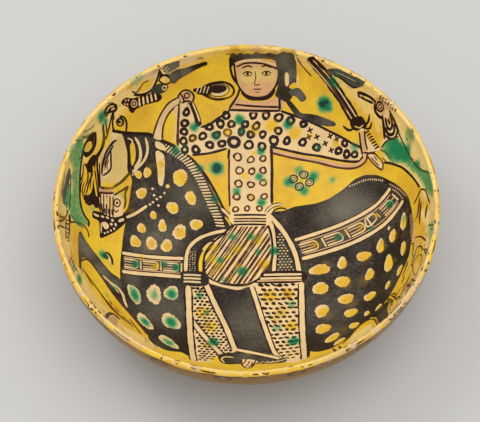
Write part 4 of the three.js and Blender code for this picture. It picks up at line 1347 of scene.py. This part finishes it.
def fillOutside(side):
    rings = [np.zeros((1, 2))]
    distance = 3.0
    while distance < side.reach - meshFineness["fillGap"]:
        nextDistance = distance + meshFineness["outsideSpacing"]
        here, there = np.interp([distance, nextDistance], side.arc, side.normalZ)
        if abs(there - here) > 0.12:
            nextDistance = distance + 0.5
        rings.append(circlePoints(distance, max(12, int(2 * math.pi * min(distance, 190) / 5))))
        distance = nextDistance
    return rings


def triangulate(side, fill):
    rim = circlePoints(side.reach, meshFineness["rimPoints"])
    points = [rim]
    count = len(rim)
    edges = [(i, (i + 1) % count) for i in range(count)]
    band = side.reach - meshFineness["lipBand"]
    for distance in np.arange(band, side.reach - 0.2, meshFineness["lipStep"]):
        points.append(circlePoints(distance, meshFineness["rimPoints"], 0.5))
    points += fill
    total = sum(len(group) for group in points)
    for _, loops in side.shapes:
        for loop in loops:
            distance = np.linalg.norm(loop, axis=1)
            limit = side.reach - meshFineness["paintGap"]
            loop *= np.where(distance > limit, limit / np.maximum(distance, 1e-9), 1)[:, None]
            points.append(loop)
            edges += [(total + i, total + (i + 1) % len(loop)) for i in range(len(loop))]
            total += len(loop)
    coords = [Vector((x, y)) for x, y in np.vstack(points)]
    verts, _, faces, _, _, _ = delaunay_2d_cdt(coords, edges, [], 0, 0.02, False)
    return np.array([(v.x, v.y) for v in verts]), np.array(faces)


# The last paint laid over each triangle
def facePaint(side, flat, faces):
    names = list(paints)
    chosen = np.full(len(faces), names.index("ground"))
    middles = flat[faces].mean(axis=1)
    for colour, loops in side.shapes:
        everything = np.vstack(loops)
        low, high = everything.min(axis=0), everything.max(axis=0)
        near = np.flatnonzero(((middles >= low) & (middles <= high)).all(axis=1))
        if len(near):
            chosen[near[insideLoops(middles[near], loops)]] = names.index(colour)
    return chosen


def smoothOver(values, faces, passes):
    pairs = np.vstack([faces[:, [0, 1]], faces[:, [1, 2]], faces[:, [2, 0]]])
    pairs = np.vstack([pairs, pairs[:, ::-1]])
    share = np.bincount(pairs[:, 0], minlength=len(values))
    for _ in range(passes):
        total = np.bincount(pairs[:, 0], weights=values[pairs[:, 1]], minlength=len(values))
        values = 0.4 * values + 0.6 * total / np.maximum(share, 1)
    return values


# Strength of each soft glaze colour at each point, blurred over its neighbours
def softFields(side, flat, faces):
    fields = {kind: np.zeros(len(flat)) for kind in ("green", "yellow", "cream", "hazeAndSheen", "smoke", "tanned")}
    for kind, loop, strength in side.washes:
        low, high = loop.min(axis=0), loop.max(axis=0)
        near = np.flatnonzero(((flat >= low) & (flat <= high)).all(axis=1))
        hit = near[insideLoops(flat[near], [loop])]
        fields[kind][hit] = np.maximum(fields[kind][hit], strength)
    for kind in fields:
        fields[kind] = smoothOver(fields[kind], faces, 3)
    for kind, u, v, wide, high, turn, strength in side.spots:
        c, s = math.cos(math.radians(turn)), math.sin(math.radians(turn))
        x, y = flat[:, 0] - u, flat[:, 1] - v
        away = np.hypot((c * x + s * y) / wide, (c * y - s * x) / high)
        fields[kind] = np.maximum(fields[kind], strength * np.exp(-0.9 * away ** 2.4))
    return fields


def angleGap(bearing, centre):
    return (bearing - centre + 180) % 360 - 180


# How pale glaze, smoke and worn clay lie over the paint
coating = {"paleNearRim": 0.58, "paleFade": 18, "paleOutside": 0.12, "creamShare": 0.7,
           "smokeShare": 0.75, "smokeLift": 1.6, "lipEdgeWear": 0.3, "bareFoot": 112}


# Colour, and stain with the painted sheen, of each corner of each triangle
def faceValues(side, flat, faces):
    chosen = facePaint(side, flat, faces)
    fields = softFields(side, flat, faces)
    distance = np.linalg.norm(flat, axis=1)
    bearing = np.degrees(np.arctan2(flat[:, 1], flat[:, 0]))
    names = list(paints)
    rgb = np.array([[(c / 255) ** 2.2 for c in paints[name][0]] for name in names])
    dark = np.array([paints[name][1] for name in names])
    corner = faces.ravel()
    cornerPaint = np.repeat(chosen, 3)
    colour = np.column_stack([rgb[cornerPaint], dark[cornerPaint]])
    isGround = cornerPaint == names.index("ground")
    wear = np.zeros(len(flat))
    nearLip = np.clip((distance - side.reach + 14) / 10, 0, 1)
    for centre, spread, strength in lipWear:
        gap = angleGap(bearing, centre) / spread
        wear = np.maximum(wear, strength * np.exp(-gap ** 2) * nearLip)
    if side is inside:
        start = np.interp(bearing, *np.array(rimFade).T)
        pale = coating["paleNearRim"] * np.clip((distance - start) / coating["paleFade"], 0, 1)
    else:
        pale = np.full(len(flat), coating["paleOutside"])
        edge = np.exp(-((distance - side.reach + 4) / 1.2) ** 2)
        wear = np.maximum(wear, coating["lipEdgeWear"] * edge)
        wear = np.maximum(wear, np.clip((coating["bareFoot"] - distance) / 6, 0, 1))
    pale = np.maximum(pale, coating["creamShare"] * fields["cream"])
    yellow = np.where(isGround, 1 - pale[corner], fields["yellow"][corner])
    tanned = (fields["tanned"][corner] * (colour[:, 3] < 0.5))[:, None]
    colour[:, :3] = colour[:, :3] * (1 - tanned) + rgb[names.index("tan")] * tanned
    smoke = (coating["smokeShare"] * fields["smoke"][corner] * (colour[:, 3] < 0.5))[:, None]
    smokeTone = rgb[names.index("plum")] * coating["smokeLift"]
    colour[:, :3] = colour[:, :3] * (1 - smoke) + smokeTone * smoke
    # the third channel holds the grey haze together with the painted sheen on the dark slip
    stainAndSheen = np.column_stack([np.clip(fields["green"], 0, 1.3)[corner], yellow, fields["hazeAndSheen"][corner],
                             wear[corner]])
    return colour, stainAndSheen


# From the flat page up onto the bowl's wall, with its warp and uneven lip
def liftPoints(side, flat):
    shape = bowlShape
    distance = np.linalg.norm(flat, axis=1)
    bearing = np.arctan2(flat[:, 1], flat[:, 0])
    radius = np.interp(distance, side.arc, side.radius)
    height = np.interp(distance, side.arc, side.height)
    lift = np.clip((radius - shape["footRadius"]) / (shape["rimRadius"] - shape["footRadius"]), 0, 1)
    warp = shape["rimWarp"] / shape["rimRadius"] * lift
    radius = radius * (1 + warp * np.cos(2 * (bearing - shape["warpBearing"])))
    uneven = 1.5 + np.sin(3 * bearing + 0.6) + 0.5 * np.sin(7 * bearing + 2)
    height = height - shape["lipUnevenness"] * uneven / 3 * lift ** 3
    normalR = np.interp(distance, side.arc, side.normalR)
    normalZ = np.interp(distance, side.arc, side.normalZ)
    points = np.column_stack([radius * np.cos(bearing), radius * np.sin(bearing), height])
    normals = np.column_stack([normalR * np.cos(bearing), normalR * np.sin(bearing), normalZ])
    return points * mm * shape["insideSolid"], normals / np.linalg.norm(normals, axis=1)[:, None]


# The points on the lip's crest, in order round the bowl, where the two sides join
def rimIndex(side, flat):
    count = meshFineness["rimPoints"]
    onEdge = np.flatnonzero(np.linalg.norm(flat, axis=1) > side.reach - 0.01)
    turn = np.arctan2(flat[onEdge, 1], flat[onEdge, 0]) / (2 * math.pi) * count
    order = np.full(count, -1)
    order[np.round(turn).astype(int) % count] = onEdge
    return order


def makeBowl():
    flatIn, facesIn = triangulate(inside, fillInside(inside))
    print("inside cut into", len(facesIn), "triangles")
    flatOut, facesOut = triangulate(outside, fillOutside(outside))
    print("outside cut into", len(facesOut), "triangles")
    colourIn, stainAndSheenIn = faceValues(inside, flatIn, facesIn)
    colourOut, stainAndSheenOut = faceValues(outside, flatOut, facesOut)
    pointsIn, normalsIn = liftPoints(inside, flatIn)
    pointsOut, normalsOut = liftPoints(outside, flatOut)
    join = np.arange(len(flatOut)) + len(flatIn)
    join[rimIndex(outside, flatOut)] = rimIndex(inside, flatIn)
    faces = np.vstack([facesIn, join[facesOut][:, ::-1]])
    flip = np.arange(len(facesOut) * 3).reshape(-1, 3)[:, ::-1].ravel()
    colour = np.vstack([colourIn, colourOut[flip]])
    stainAndSheen = np.vstack([stainAndSheenIn, stainAndSheenOut[flip]])
    points = np.vstack([pointsIn, pointsOut])
    normals = np.vstack([normalsIn, normalsOut])
    used = np.unique(faces)
    renumber = np.zeros(len(points), int)
    renumber[used] = np.arange(len(used))
    mesh = bpy.data.meshes.new("paintedBowl")
    mesh.from_pydata(points[used].tolist(), [], renumber[faces].tolist())
    paint = mesh.color_attributes.new("paint", "FLOAT_COLOR", "CORNER")
    paint.data.foreach_set("color", colour.astype(np.float32).ravel())
    stainAndSheenLayer = mesh.color_attributes.new("stainAndSheen", "FLOAT_COLOR", "CORNER")
    stainAndSheenLayer.data.foreach_set("color", stainAndSheen.astype(np.float32).ravel())
    mesh.polygons.foreach_set("use_smooth", [True] * len(mesh.polygons))
    mesh.normals_split_custom_set_from_vertices(normals[used].tolist())
    bowl = bpy.data.objects.new("paintedBowl", mesh)
    bpy.context.collection.objects.link(bowl)
    return bowl


# Materials
def addNode(tree, kind, **settings):
    node = tree.nodes.new(kind)
    for name, value in settings.items():
        if name in node.bl_rna.properties:
            setattr(node, name, value)
        else:
            node.inputs[name].default_value = value
    return node


def feed(tree, socket, value):
    if isinstance(value, bpy.types.NodeSocket):
        tree.links.new(value, socket)
    else:
        socket.default_value = value


def maths(tree, operation, first, second=0.0):
    node = addNode(tree, "ShaderNodeMath", operation=operation)
    feed(tree, node.inputs[0], first)
    feed(tree, node.inputs[1], second)
    return node.outputs[0]


def mixColour(tree, factor, first, second, blend="MIX"):
    node = addNode(tree, "ShaderNodeMix", data_type="RGBA", blend_type=blend)
    for index, value in ((0, factor), (6, first), (7, second)):
        feed(tree, node.inputs[index], value)
    return node.outputs[2]


def smoothStep(tree, value, low, high):
    node = addNode(tree, "ShaderNodeMapRange", interpolation_type="SMOOTHSTEP")
    node.inputs["From Min"].default_value = low
    node.inputs["From Max"].default_value = high
    feed(tree, node.inputs["Value"], value)
    return node.outputs["Result"]


def newGroup(name, inputs, outputs):
    group = bpy.data.node_groups.new(name, "ShaderNodeTree")
    for label, value in inputs.items():
        socket = group.interface.new_socket(label, in_out="INPUT", socket_type="NodeSocketFloat")
        socket.default_value = value
    for label in outputs:
        group.interface.new_socket(label, in_out="OUTPUT", socket_type="NodeSocketFloat")
    return group, group.nodes.new("NodeGroupInput"), group.nodes.new("NodeGroupOutput")


def placeGroup(tree, group, **values):
    node = tree.nodes.new("ShaderNodeGroup")
    node.node_tree = group
    for label, value in values.items():
        feed(tree, node.inputs[label.replace("_", " ")], value)
    return node


# A soft mask whose edge is broken up by fine noise
def raggedEdgeGroup():
    group, given, made = newGroup("raggedEdge", {"Amount": 0, "Ragged": 0.4, "Grain": 250}, ["Mask"])
    links = group.links
    place = addNode(group, "ShaderNodeTexCoord")
    noise = addNode(group, "ShaderNodeTexNoise", Detail=3.0, Roughness=0.6)
    links.new(place.outputs["Object"], noise.inputs["Vector"])
    links.new(given.outputs["Grain"], noise.inputs["Scale"])
    spread = maths(group, "MULTIPLY", maths(group, "SUBTRACT", noise.outputs["Fac"], 0.5),
                   given.outputs["Ragged"])
    total = maths(group, "ADD", spread, given.outputs["Amount"])
    links.new(smoothStep(group, total, 0.12, 0.85), made.inputs["Mask"])
    return group


# Clouds, grain, pits and crackle, from 0 to 1
def unevenGlazeGroup():
    group, given, made = newGroup("unevenGlaze", {"Cloud Scale": 30, "Grain Scale": 400, "Pit Scale": 220},
                                  ["Cloud", "Grain", "Pits", "Crackle"])
    links = group.links
    place = addNode(group, "ShaderNodeTexCoord")
    for label, detail in (("Cloud", 5.0), ("Grain", 4.0)):
        noise = addNode(group, "ShaderNodeTexNoise", Detail=detail, Roughness=0.62)
        links.new(place.outputs["Object"], noise.inputs["Vector"])
        links.new(given.outputs[label + " Scale"], noise.inputs["Scale"])
        links.new(noise.outputs["Fac"], made.inputs[label])
    pits = addNode(group, "ShaderNodeTexVoronoi", feature="F1", Randomness=1.0)
    links.new(place.outputs["Object"], pits.inputs["Vector"])
    links.new(given.outputs["Pit Scale"], pits.inputs["Scale"])
    links.new(smoothStep(group, pits.outputs["Distance"], 0.16, 0.06), made.inputs["Pits"])
    cells = addNode(group, "ShaderNodeTexVoronoi", feature="DISTANCE_TO_EDGE", Scale=260.0)
    links.new(place.outputs["Object"], cells.inputs["Vector"])
    links.new(smoothStep(group, cells.outputs["Distance"], 0.06, 0.0), made.inputs["Crackle"])
    return group


glazeLook = {
    "brightYellow": (0.92, 0.60, 0.006, 1),
    "deepYellow": (0.72, 0.37, 0.002, 1),
    "paleGreen": (0.30, 0.52, 0.16, 1),
    "midGreen": (0.008, 0.34, 0.12, 1),
    "deepGreen": (0.001, 0.085, 0.045, 1),
    # grey of thin slip, also used for the painted sheen of light
    "greySlipAndSheen": (0.21, 0.185, 0.135, 1),
    "bareClay": (0.66, 0.47, 0.33, 1),
    "brownThin": (0.13, 0.06, 0.03, 1),
    "glossRoughness": 0.26,
    "darkRoughness": 0.36,
    "bareRoughness": 0.8,
    "slipStreaks": 1.7,
    "slipClouds": 1.9,
    "crackleShare": 0.16,
    "pitShare": 0.55,
    "bareShare": 0.9,
    "bumpStrength": 0.35,
    "bumpDepth": 0.0012,
    "ior": 1.5,
    "specular": 0.2,
}


def glazeMaterial():
    look = glazeLook
    material = bpy.data.materials.new("paintedGlaze")
    material.use_nodes = True
    tree = material.node_tree
    shader = tree.nodes["Principled BSDF"]
    raggedEdge = raggedEdgeGroup()

    def times(first, second):
        return maths(tree, "MULTIPLY", first, second)

    def plus(first, second):
        return maths(tree, "ADD", first, second)

    def less(first, second):
        return maths(tree, "SUBTRACT", first, second)

    def over(share, below, above, blend="MIX"):
        return mixColour(tree, share, below, above, blend)

    def clamped(value):
        node = addNode(tree, "ShaderNodeClamp")
        feed(tree, node.inputs["Value"], value)
        return node.outputs[0]

    def masked(amount, ragged, grainScale):
        return placeGroup(tree, raggedEdge, Amount=amount, Ragged=ragged, Grain=grainScale).outputs["Mask"]

    paint = addNode(tree, "ShaderNodeAttribute", attribute_name="paint")
    stainAndSheen = addNode(tree, "ShaderNodeAttribute", attribute_name="stainAndSheen")
    split = tree.nodes.new("ShaderNodeSeparateColor")
    tree.links.new(stainAndSheen.outputs["Color"], split.inputs["Color"])
    green, yellow, hazeAndSheen = (split.outputs[k] for k in ("Red", "Green", "Blue"))
    dark, bare = paint.outputs["Alpha"], stainAndSheen.outputs["Alpha"]
    uneven = placeGroup(tree, unevenGlazeGroup(), Cloud_Scale=26.0, Grain_Scale=420.0, Pit_Scale=240.0)
    cloud, grain, pits, crackle = (uneven.outputs[k] for k in ("Cloud", "Grain", "Pits", "Crackle"))
    light = less(1.0, dark)
    slip = maths(tree, "GREATER_THAN", dark, 0.93)
    # light clay and slip, a little blotchy
    colour = over(1.0, paint.outputs["Color"], plus(times(cloud, 0.5), 0.76), "MULTIPLY")
    # yellow glaze, deeper where it lay thick
    thick = clamped(times(less(cloud, 0.36), 3.2))
    yellowTone = over(thick, look["brightYellow"], look["deepYellow"])
    yellowShare = plus(times(light, 0.9), times(slip, 0.15))
    colour = over(times(masked(yellow, 0.5, 300.0), yellowShare), colour, yellowTone)
    # green from the palest halo to the deep middle of a drop
    ramp = tree.nodes.new("ShaderNodeValToRGB")
    tree.links.new(times(green, 0.75), ramp.inputs["Fac"])
    stops = ramp.color_ramp.elements
    stops[0].position, stops[0].color = 0.12, look["paleGreen"]
    stops[1].position, stops[1].color = 0.95, look["deepGreen"]
    stops.new(0.42).color = look["midGreen"]
    greenShare = times(masked(green, 0.55, 260.0), plus(times(light, 0.9), 0.1))
    colour = over(greenShare, colour, ramp.outputs["Color"])
    # the dark slip is brushed on unevenly and is grey where it is thin and where the painted sheen of light
    # lies
    streaks = times(less(grain, 0.5), look["slipStreaks"])
    patches = times(less(cloud, 0.45), look["slipClouds"])
    uncovered = maths(tree, "MAXIMUM", plus(streaks, patches), 0.0)
    thinSlipAndSheen = times(plus(times(hazeAndSheen, 0.75), times(uncovered, 0.62)), slip)
    colour = over(clamped(thinSlipAndSheen), colour, look["greySlipAndSheen"])
    # crackle and pits in the glaze
    colour = over(times(crackle, look["crackleShare"]), colour, look["brownThin"])
    pitted = times(pits, maths(tree, "GREATER_THAN", grain, 0.56))
    colour = over(times(pitted, look["pitShare"]), colour, look["brownThin"])
    # clay that shows where the glaze is worn away
    bareMask = masked(bare, 0.9, 180.0)
    clay = over(1.0, look["bareClay"], plus(times(grain, 0.5), 0.75), "MULTIPLY")
    colour = over(times(bareMask, look["bareShare"]), colour, clay)
    tree.links.new(colour, shader.inputs["Base Color"])
    # gloss on the glaze, duller on slip and clay
    gloss = look["glossRoughness"]
    rough = plus(times(dark, look["darkRoughness"] - gloss), gloss)
    rough = plus(rough, times(grain, 0.1))
    rough = plus(rough, times(bareMask, look["bareRoughness"] - gloss))
    tree.links.new(rough, shader.inputs["Roughness"])
    heights = less(plus(times(cloud, 1.2), times(grain, 0.12)), times(crackle, 0.04))
    bump = addNode(tree, "ShaderNodeBump", Strength=look["bumpStrength"], Distance=look["bumpDepth"])
    tree.links.new(heights, bump.inputs["Height"])
    tree.links.new(bump.outputs["Normal"], shader.inputs["Normal"])
    shader.inputs["IOR"].default_value = look["ior"]
    shader.inputs["Specular IOR Level"].default_value = look["specular"]
    return material


bowl = makeBowl()
bowl.data.materials.append(glazeMaterial())
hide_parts("bowl")
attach(bowl, "root")
print("bowl made with", len(bowl.data.polygons), "triangles")

# Floor, light and camera
studio = {
    "floorColour": (0.62, 0.61, 0.59, 1),
    "floorSize": 12.0,
    "worldStrength": 0.78,
    "keyPlace": (0.3, -0.3, 2.3),
    "keySize": 1.9,
    "keyPower": 13.0,
    "fillPlace": (-1.05, 0.55, 1.7),
    "fillSize": 0.7,
    "fillPower": 5.0,
}
view = {
    "azimuth": 0.0,
    "elevation": 58.27,
    "distance": 1.6,
    "lens": 122.9,
    "aside": (-6.4, -11.8),
}


def makeFloor():
    half = studio["floorSize"] / 2
    mesh = bpy.data.meshes.new("floor")
    mesh.from_pydata([(-half, -half, 0), (half, -half, 0), (half, half, 0), (-half, half, 0)], [],
                     [(0, 1, 2, 3)])
    floor = bpy.data.objects.new("floor", mesh)
    bpy.context.collection.objects.link(floor)
    material = bpy.data.materials.new("paleFloor")
    material.use_nodes = True
    shader = material.node_tree.nodes["Principled BSDF"]
    shader.inputs["Base Color"].default_value = studio["floorColour"]
    shader.inputs["Roughness"].default_value = 0.85
    mesh.materials.append(material)


def makeLight(name, place, size, power):
    data = bpy.data.lights.new(name, "AREA")
    data.shape = "DISK"
    data.size = size
    data.energy = power
    light = bpy.data.objects.new(name, data)
    light.location = place
    light.rotation_euler = (Vector((0, 0, 0.05)) - Vector(place)).to_track_quat("-Z", "Y").to_euler()
    bpy.context.collection.objects.link(light)


def makeCamera():
    turn, rise = math.radians(view["azimuth"]), math.radians(view["elevation"])
    back = Vector((math.sin(-turn) * math.cos(rise), -math.cos(turn) * math.cos(rise), math.sin(rise)))
    data = bpy.data.cameras.new("camera")
    data.lens = view["lens"]
    data.clip_end = 50
    camera = bpy.data.objects.new("camera", data)
    rotation = back.to_track_quat("Z", "Y")
    aside = rotation @ Vector((view["aside"][0] * mm, view["aside"][1] * mm, 0))
    camera.location = Vector((0, 0, bowlHigh[2])) + back * view["distance"] + aside
    camera.rotation_euler = rotation.to_euler()
    bpy.context.collection.objects.link(camera)
    bpy.context.scene.camera = camera


makeFloor()
makeLight("key", studio["keyPlace"], studio["keySize"], studio["keyPower"])
makeLight("fill", studio["fillPlace"], studio["fillSize"], studio["fillPower"])
makeCamera()
world = bpy.data.worlds.new("studio")
world.use_nodes = True
world.node_tree.nodes["Background"].inputs["Color"].default_value = (1, 1, 1, 1)
world.node_tree.nodes["Background"].inputs["Strength"].default_value = studio["worldStrength"]
bpy.context.scene.world = world
bpy.context.scene.view_settings.view_transform = "Standard"
print("floor, lights and camera made")
